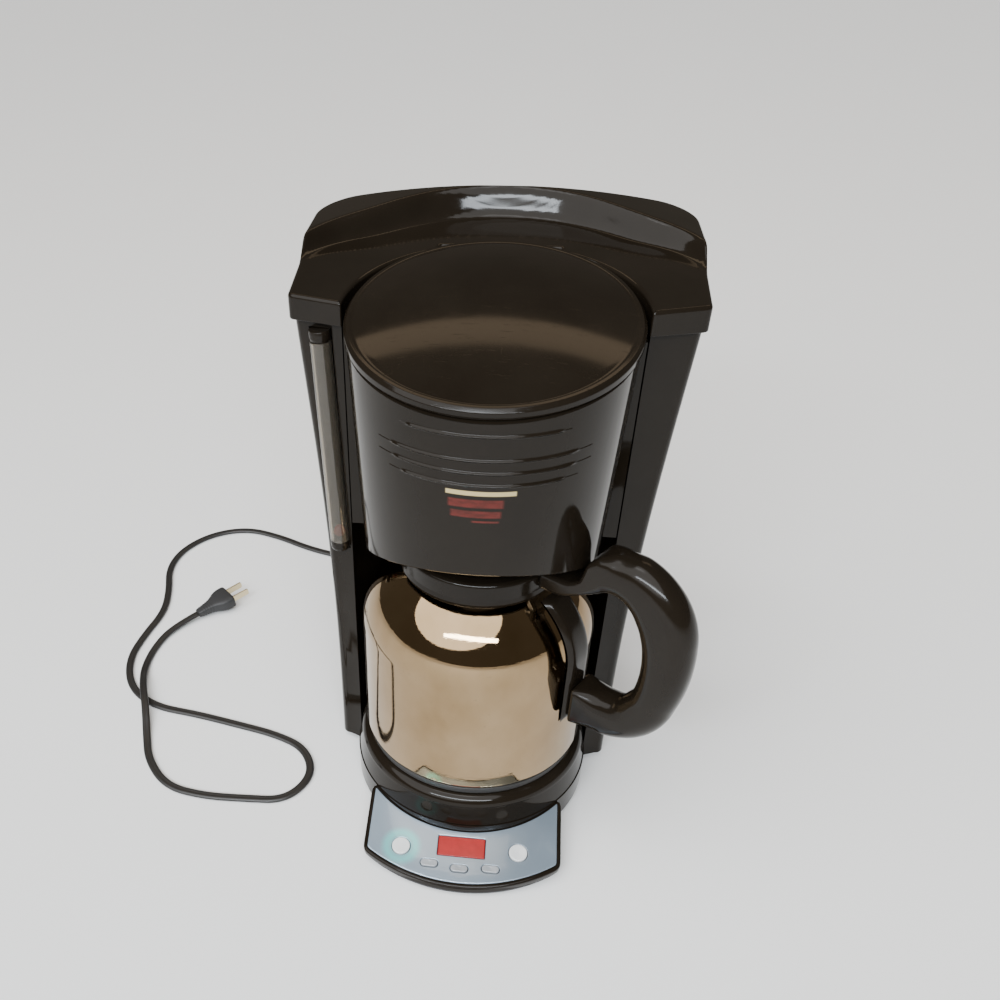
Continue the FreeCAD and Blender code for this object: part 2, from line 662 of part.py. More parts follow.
top_pocket = feature(column, "Pocket", "top_cut", top_cut, Length=s.column_high_radius * 3)
top_pocket.SideType = "Symmetric"
box_cut(column, "rear_window", (-(s.chute_half_width + s.gap), s.chute_half_width + s.gap),
        (s.chute_front - s.gap - s.column_centre, 120.0), chute_low - s.gap, column_high + 10.0)
put(column, 0.0, s.column_centre, 0.0)
keep(column, "brew_housing")

# ---------------------------------------------------------------- basket, filter and valve

basket = new_body("basket")
basket_top = ledge_top + s.gap / 2 + 2.0
basket_floor = basket_top - s.basket_height
nozzle_end = basket_floor - s.nozzle_length
side_run = (s.basket_radius - s.basket_floor_radius) / s.basket_height
turned(basket, "cup", [
    (s.outlet_radius, basket_floor), (s.outlet_radius, nozzle_end),
    (s.nozzle_radius, nozzle_end), (s.nozzle_radius, basket_floor),
    (s.basket_floor_radius, basket_floor),
    (s.basket_radius - side_run * 2.0, basket_top - 2.0), (s.basket_rim_radius, basket_top - 2.0),
    (s.basket_rim_radius, basket_top), (s.basket_radius - s.basket_wall, basket_top),
    (s.basket_floor_radius - s.basket_wall, basket_floor + s.basket_wall),
    (s.outlet_radius, basket_floor + s.basket_wall)])
put(basket, 0.0, s.column_centre, 0.0)
keep(basket, "filter_basket")

mesh = new_body("mesh")
mesh_low = basket_floor + s.basket_wall + 6.0
lean = side_run * (s.basket_wall + 6.0)
mesh_gap = s.basket_wall + 1.0
turned(mesh, "cup", [
    (0.0, mesh_low), (s.basket_floor_radius + lean - mesh_gap, mesh_low),
    (s.basket_radius - mesh_gap, basket_top), (s.basket_radius + 1.5, basket_top + 0.1),
    (s.basket_radius + 1.5, basket_top + 1.3), (s.basket_radius - mesh_gap - s.filter_wall,
                                                basket_top + 1.3),
    (s.basket_floor_radius + lean - mesh_gap - s.filter_wall, mesh_low + s.filter_wall),
    (0.0, mesh_low + s.filter_wall)])
put(mesh, 0.0, s.column_centre, 0.0)
keep(mesh, "permanent_filter")

valve = new_body("valve")
head_low = basket_floor + s.basket_wall + s.gap
turned(valve, "plunger", [
    (0.0, s.stem_end), (s.valve_flange_radius, s.stem_end), (s.valve_flange_radius, s.stem_end + 2.0),
    (s.stem_radius, s.stem_end + 2.0), (s.stem_radius, head_low),
    (s.valve_head_radius, head_low), (s.valve_head_radius, head_low + 1.6), (0.0, head_low + 1.6)])
put(valve, 0.0, s.column_centre, 0.0)
keep(valve, "drip_valve")

spring = new_body("spring")
spring_low = s.stem_end + 2.0 + s.wire_radius * 1.5
spring_high = nozzle_end - s.wire_radius * 1.5
wire = draw(spring, "wire_outline", "XZ_Plane",
            [round_corners(s.spring_radius, spring_low, s.wire_radius)])
coil = feature(spring, "AdditiveHelix", "coil", wire, ReferenceAxis=(wire, ["V_Axis"]),
               Mode="height-turns-angle", Height=spring_high - spring_low, Turns=6)
put(spring, 0.0, s.column_centre, 0.0)
keep(spring, "valve_spring")

# ---------------------------------------------------------------- spray head, chute, tank

spray = new_body("spray")
spray_top = s.spray_height + s.spray_thickness
turned(spray, "dish", [
    (0.0, s.spray_height), (s.spray_radius, s.spray_height), (s.spray_radius, s.spray_height + 1.5),
    (12.0, spray_top), (0.0, spray_top)])
put(spray, 0.0, s.column_centre, 0.0)
keep(spray, "spray_head")

chute_x = (-s.chute_half_width, s.chute_half_width)
tray = block("chute_tray", chute_x, (s.chute_front, s.tank_front + 6.0), (chute_low, chute_top))
tray_space = block("chute_space", (chute_x[0] + s.chute_wall, chute_x[1] - s.chute_wall),
                   (s.chute_front + s.chute_wall, s.tank_front + 7.0),
                   (chute_low + s.chute_wall, chute_top + 1.0))
keep(cut("chute", tray, tray_space), "fill_chute")

tank = new_body("tank")
tank_back = s.tower_back - s.wall - s.tank_back_gap


def tank_outline(inset):
    front, back, side = s.tank_front + inset, tank_back - inset, s.tank_half_width - inset
    corner = s.tank_corner - inset
    bend_x, bend_y = s.tank_half_width - s.tank_corner, tank_back - s.tank_corner
    return [(side, front), (side, bend_y), (bend_x, back, corner), (-bend_x, back),
            (-side, bend_y, corner), (-side, front)]


tank_top = s.tank_high
pad(tank, "outside", draw(tank, "outline", "XY_Plane", [tank_outline(0.0)], s.tank_low),
    tank_top - s.tank_low)
inside = draw(tank, "space_outline", "XY_Plane", [tank_outline(s.tank_wall)],
              s.tank_low + s.tank_wall)
space_cut = feature(tank, "Pocket", "space", inside, Length=tank_top - s.tank_low)
space_cut.Reversed = True
keep(tank, "water_tank")

outlet_x, outlet_y = 60.0, (s.tank_front + tank_back) / 2
outlet = ring("tank_outlet_ring", s.tube_radius + 2.0, s.tube_radius, 10.0,
              outlet_x, outlet_y, s.tank_low - 10.0)
keep(outlet, "check_valve")

heater_end = s.heater_radius * math.sqrt(0.5)
level = s.tube_run_height
inlet = tube("inlet_route", [
    (heater_end, heater_end, level), (heater_end - 11.0, heater_end + 11.0, level),
    (heater_end - 2.0, heater_end + 34.0, level), (outlet_x - 6.0, s.tank_front - 4.0, level),
    (outlet_x, outlet_y, level + 5.0), (outlet_x, outlet_y, s.tank_low - 10.0)],
    s.tube_radius.number, (s.tube_radius - s.tube_wall).number)
keep(inlet, "inlet_hose")

riser_level = s.tower_top - 2.5
riser = tube("riser_route", [
    (-heater_end, heater_end, level), (-heater_end + 11.0, heater_end + 11.0, level),
    (-heater_end - 2.0, heater_end + 34.0, level), (-70.0, 84.0, level),
    (-76.0, 84.0, level + 26.0), (-76.0, 84.0, riser_level - 24.0), (-66.0, 86.0, riser_level),
    (-26.0, 86.0, riser_level), (-20.0, 58.0, riser_level), (-3.0, 30.0, riser_level),
    (-3.0, 6.0, riser_level)],
    s.tube_radius.number, (s.tube_radius - s.tube_wall).number)
keep(riser, "riser_tube")
elbow = block("spray_elbow", (-11.0, 5.0), (-10.0, 6.0), (spray_top, spray_top + 11.5))
keep(elbow, "spray_inlet")

# ---------------------------------------------------------------- sight tube and float

gauge_turn = dict(axis=(0, 1, 0), degrees=-s.gauge_lean)
gauge = ring("gauge", s.gauge_radius, s.gauge_bore, s.gauge_length,
             -s.gauge_low_x, gauge_y, s.gauge_low, **gauge_turn)
keep(gauge, "gauge_tube")
top_shift = (s.gauge_length + s.gap / 4) * sine(s.gauge_lean)
fittings = [
    cylinder("fitting_low", s.gauge_radius, s.fitting_length - s.gap / 4,
             -s.gauge_low_x + s.fitting_length * sine(s.gauge_lean), gauge_y,
             s.gauge_low - s.fitting_length, **gauge_turn),
    cylinder("fitting_high", s.gauge_radius, s.fitting_length, -s.gauge_low_x - top_shift, gauge_y,
             s.gauge_low + (s.gauge_length + s.gap / 4) * cosine(s.gauge_lean), **gauge_turn)]
keep(group("fittings", fittings), "gauge_fittings")
ball = part("Sphere", "ball", {"Radius": s.float_radius},
            -s.gauge_low_x - s.float_height * sine(s.gauge_lean), gauge_y,
            s.gauge_low + s.float_height * cosine(s.gauge_lean))
keep(ball, "gauge_float")

# ---------------------------------------------------------------- base

base = new_body("base")


panel_slope = sine(s.panel_tilt) / cosine(s.panel_tilt)
under_panel = s.panel_top - s.panel_thickness / cosine(s.panel_tilt) - s.seat_gap
pad(base, "front", draw(base, "front_outline", "XY_Plane", [panel_outline(0.0, 40.0)], shell_low),
    s.base_top - shell_low)
slope_reach = 80.0
slope_rear = 22.0
slope_side = draw(base, "slope_outline", "YZ_Plane", [[
    (-s.panel_start + slope_rear, under_panel + panel_slope * slope_rear),
    (-s.panel_start + slope_rear, s.base_top + 10.0),
    (-s.panel_start - slope_reach, s.base_top + 10.0),
    (-s.panel_start - slope_reach, under_panel - panel_slope * slope_reach)]])
slope_cut = feature(base, "Pocket", "slope", slope_side, Length=s.panel_half_width * 3)
slope_cut.SideType = "Symmetric"
board_y = (-(s.panel_corner + 7.0), -(s.base_radius + 3.5))
board_x = s.panel_half_width - 16.0
front_space = draw(base, "front_space_outline", "XY_Plane", [panel_outline(s.wall, 60.0)], shell_low)
front_cut = feature(base, "Pocket", "front_space", front_space, Length=3.4)
front_cut.Reversed = True
box_cut(base, "board_window", (-(board_x + 1.0), board_x + 1.0), (board_y[0] - 1.0, board_y[1] + 1.0),
        shell_low, s.base_top)
button_x, button_y = s.panel_half_width - 37.0, -(s.panel_nose - 8.5)
box_cut(base, "button_window", (-button_x, button_x), (button_y, board_y[0]), shell_low, s.base_top)
round_outline = round_corners(0.0, 0.0, s.base_radius)
pad(base, "round", draw(base, "round_outline", "XY_Plane", [round_outline], shell_low),
    s.base_top - shell_low)
inner_outline = round_corners(0.0, 0.0, s.base_radius - s.wall)
round_space = feature(base, "Pocket", "round_space",
                      draw(base, "round_space_outline", "XY_Plane", [inner_outline], shell_low),
                      Length=s.base_top - s.wall - shell_low)
round_space.Reversed = True
box_cut(base, "duct", (-duct_half_width, duct_half_width), (40.0, 90.0), shell_low - 1.0,
        s.base_top - 3.0)
box_cut(base, "loom_slot", (-8.0, 8.0), (-(s.base_radius + 3.0), -(s.base_radius - 6.0)),
        shell_low, shell_low + 4.0)
keep(base, "base_shell")

platform = new_body("platform")
platform_low = s.base_top + s.gap / 2
platform_top = s.base_top + s.platform_height
round_start = platform_top - s.platform_round
turned(platform, "puck", [
    (s.platform_low_radius, platform_low), (s.platform_high_radius, round_start),
    (s.platform_high_radius - s.platform_round, platform_top, s.platform_round),
    (s.mat_radius + s.gap / 2, platform_top), (s.mat_radius + s.gap / 2,
                                               platform_top - s.mat_thickness),
    (0.0, platform_top - s.mat_thickness), (0.0, platform_top - s.mat_thickness - s.wall),
    (s.platform_high_radius - s.platform_round, platform_top - s.mat_thickness - s.wall),
    (s.platform_high_radius - s.wall, round_start - 2.0),
    (s.platform_low_radius - s.wall, platform_low)])
keep(platform, "platform")
mat = cylinder("mat", s.mat_radius, s.mat_thickness, 0.0, 0.0, platform_top - s.mat_thickness)
keep(mat, "platform_mat")

# ---------------------------------------------------------------- control panel
# The panel's pieces are drawn flat, with their Y along the slope, and tipped together.


def tip(thing, x=0.0, along=0.0, rise=0.0):
    """Put a piece on the sloping panel: along is measured down the slope towards the front."""
    return put(thing, x, -s.panel_start - along * cosine(s.panel_tilt) - rise * sine(s.panel_tilt),
               s.panel_top - along * sine(s.panel_tilt) + rise * cosine(s.panel_tilt),
               axis=(1, 0, 0), degrees=s.panel_tilt)


display_along = 37.6
BUTTONS = {
    "hour_button": (-21.5, 52.0), "minute_button": (-0.5, 54.1), "program_button": (21.0, 52.4),
    "auto_button": (-42.3, 41.1), "brew_button": (39.4, 38.3)}
ROUND_BUTTONS = ("auto_button", "brew_button")


def oval(x, along, length, width):
    """An outline with round ends, or a circle where length equals width."""
    half, end = (length - width) / 2, width / 2
    if as_number(half) < 0.01:
        return round_corners(x, -along, end)
    return [(x + half, -along - end), (x + half + end, -along, end), (x + half, -along + end, end),
            (x - half, -along + end), (x - half - end, -along, end), (x - half, -along - end, end)]


panel = new_body("panel")
ring_gap = s.base_radius + 1.0
stretch = 1.0 / math.cos(math.radians(SIZES["panel_tilt"]))
side = s.panel_half_width
rear_y = root(ring_gap * ring_gap - side * side)
corner_along = (s.panel_corner - s.panel_start) * stretch
nose_along = (s.panel_nose - 2.6 - s.panel_start) * stretch
rear_along = (rear_y - s.panel_start) * stretch
panel_bow = (side * side + (nose_along - corner_along) * (nose_along - corner_along)) \
    / ((nose_along - corner_along) * 2)
window_x, window_y = s.window_width / 2 + s.gap / 2, s.window_depth / 2 + s.gap / 2
holes = [[(-window_x, -display_along - window_y), (window_x, -display_along - window_y),
          (window_x, -display_along + window_y), (-window_x, -display_along + window_y)]]
for name, (x, along) in BUTTONS.items():
    length = s.round_radius * 2 if name in ROUND_BUTTONS else s.oval_length
    width = s.round_radius * 2 if name in ROUND_BUTTONS else s.oval_width
    holes.append(oval(x, along, length + s.button_gap * 2, width + s.button_gap * 2))
plate = draw(panel, "plate_outline", "XY_Plane", [[
    (-side, -rear_along), (-side, -corner_along), (side, -corner_along, panel_bow),
    (side, -rear_along), (-side, -rear_along, -ring_gap)][1:]] + holes, -s.panel_thickness)
pad(panel, "plate", plate, s.panel_thickness)
tip(panel)
keep(panel, "control_panel")

window = new_body("window")
pane = [(-s.window_width / 2, -s.window_depth / 2), (s.window_width / 2, -s.window_depth / 2),
        (s.window_width / 2, s.window_depth / 2), (-s.window_width / 2, s.window_depth / 2)]
pad(window, "pane", draw(window, "pane_outline", "XY_Plane", [pane], -1.6), 1.6)
tip(window, 0.0, display_along)
keep(window, "display_window")

lcd = new_body("lcd")
pad(lcd, "module", draw(lcd, "module_outline", "XY_Plane", [pane], -5.0), 3.3)
tip(lcd, 0.0, display_along)
keep(lcd, "display_module")

for name, (x, along) in BUTTONS.items():
    length = s.round_radius * 2 if name in ROUND_BUTTONS else s.oval_length
    width = s.round_radius * 2 if name in ROUND_BUTTONS else s.oval_width
    button = new_body(name)
    cap_depth = s.panel_thickness + s.button_depth
    pad(button, "cap", draw(button, "cap_outline", "XY_Plane", [oval(0.0, 0.0, length, width)],
                            -cap_depth), cap_depth + s.button_proud)
    round_edges(button, "soft_edge",
                lambda e, m: abs(m.z - SIZES["button_proud"]) < 1e-6, s.button_proud * 0.6)
    tip(button, x, along)
    keep(button, name)

board_low = s.board_height
board = block("board", (-board_x, board_x), board_y, (board_low, board_low + s.board_thickness))
keep(board, "control_board")

# ---------------------------------------------------------------- heater and wiring

torus = part("Torus", "heater_torus", {"Radius1": s.heater_radius, "Radius2": s.heater_thickness,
                                       "Angle3": 270.0}, 0.0, 0.0, level,
             axis=(0, 0, 1), degrees=-225.0)
keep(torus, "heater_casting")
thermostat = cylinder("thermostat_disc", 8.0, 6.0, 0.0, -(s.heater_radius - 14.0), level - 5.0)
keep(thermostat, "thermostat")
fuse_holder = cylinder("fuse_body", 3.0, 26.0, -13.0, -20.0, level - 5.0,
                       axis=(0, 1, 0), degrees=90.0)
keep(fuse_holder, "thermal_fuse")
terminal = block("terminal", (s.cord_exit_x - 8.0, s.cord_exit_x + 8.0),
                 (s.tank_front - 8.0, s.tank_front + 10.0), (7.0, 21.0))
keep(terminal, "terminal_block")
loom = tube("loom_route", [
    (0.0, board_y[1].number, 7.2), (0.0, -80.0, 7.2), (20.0, -64.0, 7.2), (26.0, -30.0, 7.2),
    (20.0, 10.0, 7.2), (-20.0, 60.0, 7.2), (-50.0, 86.0, 8.5), (-62.4, 91.0, 10.0)], 1.3)
keep(loom, "wire_loom")

# ---------------------------------------------------------------- carafe

dome_side, dome_rise = s.carafe_radius, s.dome_height


def dome_height(radius):
    """Height of the shoulder's quarter ellipse at a radius."""
    ratio = radius / s.carafe_radius
    return s.carafe_shoulder + s.dome_height * root(1.0 - ratio * ratio)


def dome_points(inset):
    """Corners on the shoulder from the side to the neck, inset by a wall."""
    points = []
    for share in (1.0, 0.975, 0.93, 0.87, 0.8, 0.72):
        radius = s.carafe_radius * share
        points.append((radius - inset * share, dome_height(radius) - inset * (1.3 - share)))
    return points


steel = new_body("steel")
low_round = 5.0
steel_inside = s.carafe_radius - s.carafe_wall
seam = s.carafe_low + low_round
shoulder_height = dome_height(s.carafe_radius)
turned(steel, "side", [
    (s.carafe_radius, seam), (s.carafe_radius, shoulder_height), (steel_inside, shoulder_height),
    (steel_inside, seam)])
steel_dome = new_body("steel_dome")
outer = [(s.carafe_radius, shoulder_height)] + dome_points(0.0)[1:] + [
    (s.neck_radius, dome_height(s.neck_radius)), (s.neck_radius, s.neck_top)]
inner = [(s.neck_radius - s.carafe_wall, s.neck_top),
         (s.neck_radius - s.carafe_wall, dome_height(s.neck_radius))] \
    + dome_points(s.carafe_wall)[:0:-1] + [(steel_inside, shoulder_height)]
turned(steel_dome, "shoulder", outer + inner)
steel_cup = new_body("steel_cup")
turned(steel_cup, "cup", [
    (s.carafe_radius - low_round, s.carafe_low), (s.carafe_radius, seam, low_round),
    (steel_inside, seam),
    (s.carafe_radius - low_round, s.carafe_low + s.carafe_wall, -(low_round - s.carafe_wall)),
    (0.0, s.carafe_low + s.carafe_wall), (0.0, s.carafe_low)])
keep(group("steel_pieces", [steel, steel_dome, steel_cup]), "carafe_shell")

liner = new_body("liner")
liner_radius = s.carafe_radius - s.vacuum_gap
liner_low = s.carafe_low + s.vacuum_gap
liner_dome = [(x - s.vacuum_gap, z - s.vacuum_gap * 0.9) for x, z in dome_points(0.0)[:-1]]
liner_inner = [(x - s.vacuum_gap - s.carafe_wall, z - s.vacuum_gap * 0.9 - s.carafe_wall)
               for x, z in dome_points(0.0)[:-1]]
liner_seam = liner_low + s.carafe_wall
liner_inside = liner_radius - s.carafe_wall
liner_shoulder = liner_dome[0][1]
turned(liner, "vessel", [
    (liner_radius, liner_seam), (liner_radius, liner_shoulder), (liner_inside, liner_shoulder),
    (liner_inside, liner_seam)])
liner_top = new_body("liner_top")
turned(liner_top, "vessel_shoulder", [(liner_radius, liner_shoulder)] + liner_dome[1:]
       + [(s.liner_neck_radius, liner_dome[-1][1] + 10.0), (s.liner_neck_radius, s.neck_top),
          (s.liner_neck_radius - s.carafe_wall, s.neck_top),
          (s.liner_neck_radius - s.carafe_wall, liner_dome[-1][1] + 8.0)] + liner_inner[:0:-1]
       + [(liner_inside, liner_shoulder)])
liner_floor = cylinder("liner_floor", liner_radius, s.carafe_wall, 0.0, 0.0, liner_low)
keep(group("liner_pieces", [liner, liner_top, liner_floor]), "carafe_liner")

carafe_floor = platform_top + 0.3
foot_ring = ring("foot_ring", s.foot_ring_radius, s.foot_ring_radius - 10.0,
                 s.carafe_low - carafe_floor - 0.05, 0.0, 0.0, carafe_floor)
keep(foot_ring, "carafe_base_ring")

collar = new_body("collar")
turned(collar, "band", [
    (s.neck_radius + s.seat_gap, dome_height(s.neck_radius) + s.seat_gap),
    (s.collar_radius, dome_height(s.collar_radius) + s.seat_gap),
    (s.collar_radius, s.collar_top - 3.0),
    (s.collar_radius - 3.0, s.collar_top, 3.0), (s.carafe_lid_radius + s.gap, s.collar_top),
    (s.carafe_lid_radius + s.gap, s.neck_top + s.seat_gap),
    (s.neck_radius + s.seat_gap, s.neck_top + s.seat_gap)])
keep(collar, "carafe_collar")

carafe_lid = new_body("carafe_lid")
plug_radius = s.liner_neck_radius - s.carafe_wall - 2.0
turned(carafe_lid, "stopper", [
    (5.0, s.neck_top - 16.0), (plug_radius, s.neck_top - 16.0), (plug_radius, s.neck_top + 0.5),
    (s.carafe_lid_radius, s.neck_top + 0.5), (s.carafe_lid_radius, s.carafe_lid_top - 2.0),
    (s.carafe_lid_radius - 2.0, s.carafe_lid_top, 2.0), (16.0, s.carafe_lid_top),
    (12.0, s.carafe_lid_top - 3.0), (5.0, s.carafe_lid_top - 4.0)])
keep(carafe_lid, "carafe_lid")
gasket = ring("gasket", s.liner_neck_radius - s.carafe_wall - 0.4, plug_radius + 0.05, 3.0,
              0.0, 0.0, s.neck_top - 12.0)
keep(gasket, "lid_gasket")

# The handle is drawn in the plane of its own length and turned about the carafe's axis.
handle = new_body("handle")
lug_low, lug_top = s.collar_low + 7.0, s.collar_low + 22.0
step = s.column_low_radius + 6.0
reach, top, bottom = s.handle_reach, s.handle_top, s.handle_bottom
lug_start = s.collar_radius + s.seat_gap
body_side = s.carafe_radius + s.spine_thickness + s.seat_gap
grip_outline = [
    (lug_start, lug_low), (step - 8.0, lug_low), (step + 14.0, top - 29.0),
    (reach - 47.0, top - 31.0), (reach - 28.0, top - 52.0, -30.0),
    (reach - 25.0, bottom + 44.0), (reach - 36.0, bottom + 32.0, -12.0),
    (body_side, bottom + 31.0), (body_side, bottom + 2.0), (reach - 44.0, bottom + 1.0),
    (reach - 4.0, bottom + 44.0, 52.0), (reach, top - 50.0, 130.0), (reach - 44.0, top, 50.0),
    (step + 6.0, top), (step, top - 6.0, 6.0), (step, lug_top), (lug_start, lug_top)]
middle_pad(handle, "grip", draw(handle, "grip_outline", "XZ_Plane", [grip_outline]), s.handle_width)
keep(put(handle, axis=(0, 0, 1), degrees=-s.handle_angle), "carafe_handle")

spine = new_body("spine")
spine_low = s.handle_bottom - 2.0
spine_curve = [(x + s.seat_gap + 0.4, z) for x, z in dome_points(0.0)[:-2]]
spine_out = [(x + s.spine_thickness, z + s.spine_thickness * (1.15 - i * 0.02))
             for i, (x, z) in enumerate(dome_points(0.0)[:-2])]
spine_outline = [(s.carafe_radius + s.seat_gap, spine_low)] + spine_curve \
    + spine_out[::-1] + [(s.carafe_radius + s.spine_thickness, spine_low)]
middle_pad(spine, "strip", draw(spine, "strip_outline", "XZ_Plane", [spine_outline]), s.spine_width)
keep(put(spine, axis=(0, 0, 1), degrees=-s.handle_angle), "handle_spine")

# ---------------------------------------------------------------- cord and plug

relief = part("Cone", "relief", {"Radius1": s.relief_radius - s.seat_gap,
                                 "Radius2": s.relief_tip_radius,
                                 "Height": s.relief_length + s.wall},
              s.cord_exit_x, relief_y, s.cord_exit_height, axis=(1, 0, 0), degrees=-90.0)
keep(relief, "cord_relief")

FLOOR = SIZES["cord_radius"] + 0.2
HUMP = FLOOR + 9.5
exit_y = SIZES["tower_back"] + SIZES["relief_length"]
CORD_ROUTE = [
    (SIZES["cord_exit_x"], exit_y, SIZES["cord_exit_height"]),
    (SIZES["cord_exit_x"], 186, SIZES["cord_exit_height"]), (-80, 214, FLOOR),
    (-108, 241, FLOOR), (-142, 252, FLOOR), (-178, 262, FLOOR), (-214, 280, FLOOR),
    (-250, 290, FLOOR), (-284, 277, FLOOR), (-307, 248, FLOOR), (-312, 215, FLOOR),
    (-301, 180, FLOOR), (-296, 148, FLOOR), (-304, 113, FLOOR), (-307, 80, FLOOR),
    (-294, 46, FLOOR), (-266, 26, FLOOR), (-228, 21, FLOOR), (-190, 13, FLOOR),
    (-158, 6, FLOOR), (-131, -6, FLOOR), (-119, -33, FLOOR), (-135, -60, FLOOR),
    (-167, -62, FLOOR), (-199, -63, FLOOR), (-230, -57, FLOOR), (-252, -33, FLOOR),
    (-262, -7, FLOOR), (-270, 18, HUMP), (-281, 44, HUMP), (-290, 72, FLOOR),
    (-289, 100, FLOOR), (-280, 126, FLOOR), (-261, 145, FLOOR + 2.8)]
cord = tube("cord_route", CORD_ROUTE, SIZES["cord_radius"])
keep(cord, "power_cord")

before, last = (Vector(*p) for p in CORD_ROUTE[-2:])
heading = math.degrees(math.atan2(last.y - before.y, last.x - before.x))
climb = math.degrees(math.asin((last - before).normalize().z))
plug_turn = Rotation(Vector(0, 0, 1), heading).multiply(Rotation(Vector(0, 1, 0), 90.0 - climb))
plug = new_body("plug")


def plug_section(width, depth):
    """A rectangle across the plug, its long side across the two blades."""
    return [(-depth / 2, -width / 2), (depth / 2, -width / 2), (depth / 2, width / 2),
            (-depth / 2, width / 2)]


plug_sections = [
    draw(plug, "tail", "XY_Plane", [plug_section(9.0, 8.0)], 0.0),
    draw(plug, "waist", "XY_Plane", [plug_section(s.plug_width * 0.55, 9.0)], s.plug_length * 0.45),
    draw(plug, "shoulder", "XY_Plane", [plug_section(s.plug_width, s.plug_height * 0.95)],
         s.plug_length * 0.75),
    draw(plug, "face", "XY_Plane", [plug_section(s.plug_width, s.plug_height * 0.9)], s.plug_length)]
plug_loft = feature(plug, "AdditiveLoft", "moulding", plug_sections[0], Ruled=True)
plug_loft.Sections = plug_sections[1:]
plug.Placement = Placement(last, plug_turn)
keep(plug, "plug_body")
blades = []
for index, sign in enumerate((-1, 1)):
    blade = doc.addObject("Part::Box", f"blade_{index}")
    bind(blade, "Length", s.blade_height)
    bind(blade, "Width", s.blade_thickness)
    bind(blade, "Height", s.blade_length)
    corner = Vector(-SIZES["blade_height"] / 2,
                    sign * SIZES["blade_spacing"] / 2 - SIZES["blade_thickness"] / 2,
                    SIZES["plug_length"] + 0.05)
    blade.Placement = Placement(last + plug_turn.multVec(corner), plug_turn)
    blades.append(blade)
keep(group("blades", blades), "plug_blades")

# ---------------------------------------------------------------- check and write

doc.recompute()
failed = [o.Name for o in doc.Objects if "Invalid" in o.State or "Error" in o.State]
for node in nodes:
    if node.Shape.isNull() or not node.Shape.isValid() or not node.Shape.Solids:
        failed.append(node.Label)
if failed:
    raise RuntimeError(f"these did not build: {failed}")
os.makedirs(NODES_FOLDER, exist_ok=True)
for node in nodes:
    node.Shape.exportStep(os.path.join(NODES_FOLDER, f"{node.Label}.step"))
print(f"{len(nodes)} nodes written")
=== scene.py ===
# %% [markdown]
# # A drip coffee maker
# A black machine with a hinged lid over its brew column, a polished steel carafe, a sight
# tube and a sloping panel of buttons. Every length below is in millimetres until a mesh is
# made, because that is how such a machine is drawn, and MM turns it into metres.

# %% The fixed frame
import math

import bmesh
import bpy
import numpy as np
from mathutils import Matrix, Vector
from mathutils.geometry import delaunay_2d_cdt


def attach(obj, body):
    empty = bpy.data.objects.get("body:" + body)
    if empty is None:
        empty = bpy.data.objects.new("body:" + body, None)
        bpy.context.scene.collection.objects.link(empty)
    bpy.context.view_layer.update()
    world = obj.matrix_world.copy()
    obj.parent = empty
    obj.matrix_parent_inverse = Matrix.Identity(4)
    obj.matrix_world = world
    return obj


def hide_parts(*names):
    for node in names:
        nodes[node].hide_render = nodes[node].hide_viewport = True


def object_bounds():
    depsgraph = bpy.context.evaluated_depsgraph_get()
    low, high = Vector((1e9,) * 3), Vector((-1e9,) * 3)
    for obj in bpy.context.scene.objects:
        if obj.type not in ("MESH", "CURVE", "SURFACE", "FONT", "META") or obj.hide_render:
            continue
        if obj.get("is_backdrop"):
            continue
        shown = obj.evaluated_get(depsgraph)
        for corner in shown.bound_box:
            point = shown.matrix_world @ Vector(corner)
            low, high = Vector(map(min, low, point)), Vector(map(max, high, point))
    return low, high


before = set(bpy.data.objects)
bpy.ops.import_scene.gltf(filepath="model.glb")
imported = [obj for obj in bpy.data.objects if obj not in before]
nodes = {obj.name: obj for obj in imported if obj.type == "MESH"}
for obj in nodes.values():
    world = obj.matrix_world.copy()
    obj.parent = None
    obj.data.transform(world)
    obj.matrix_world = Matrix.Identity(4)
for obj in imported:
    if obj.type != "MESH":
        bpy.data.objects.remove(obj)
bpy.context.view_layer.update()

MM = 0.001

# %% [markdown]
# ## The camera
# The camera looks down at the machine by forty degrees, from a little to its right. Its
# axes are worked out from those angles, and become the columns of its matrix.

# %% The camera


def camera_axes(pitch, yaw, roll):
    """The level camera's right, forward and down, rolled about forward, then turned by yaw about up."""
    right = np.array([1.0, 0.0, 0.0])
    forward = np.array([0.0, math.cos(pitch), -math.sin(pitch)])
    down = np.array([0.0, -math.sin(pitch), -math.cos(pitch)])
    across = math.cos(roll) * right + math.sin(roll) * down
    below = -math.sin(roll) * right + math.cos(roll) * down
    turn = np.array(Matrix.Rotation(yaw, 3, "Z"))
    return turn @ np.column_stack([across, -below, -forward])


camera = bpy.data.objects.new("camera", bpy.data.cameras.new("camera"))
bpy.context.scene.collection.objects.link(camera)
camera.data.lens = 34.74
camera.data.sensor_width = 36.0
camera.data.shift_x = 0.1206
camera.data.shift_y = 0.1246
pose = np.eye(4)
pose[:3, :3] = camera_axes(math.radians(40.19637), math.radians(8.862315), math.radians(1.76534))
pose[:3, 3] = (0.011888, -0.5166, 0.573293)
camera.matrix_world = Matrix(pose.tolist())
bpy.context.scene.camera = camera
print("camera at", camera.location[:])

# %% [markdown]
# ## Surfaces from arrays
# A surface is a grid of points that numpy works out at once. Three small helpers cover every
# shape here: faces between a grid's rows, the mesh itself, and normals weighted by area,
# which keep a flat face flat beside a tight round.

# %% Faces and meshes


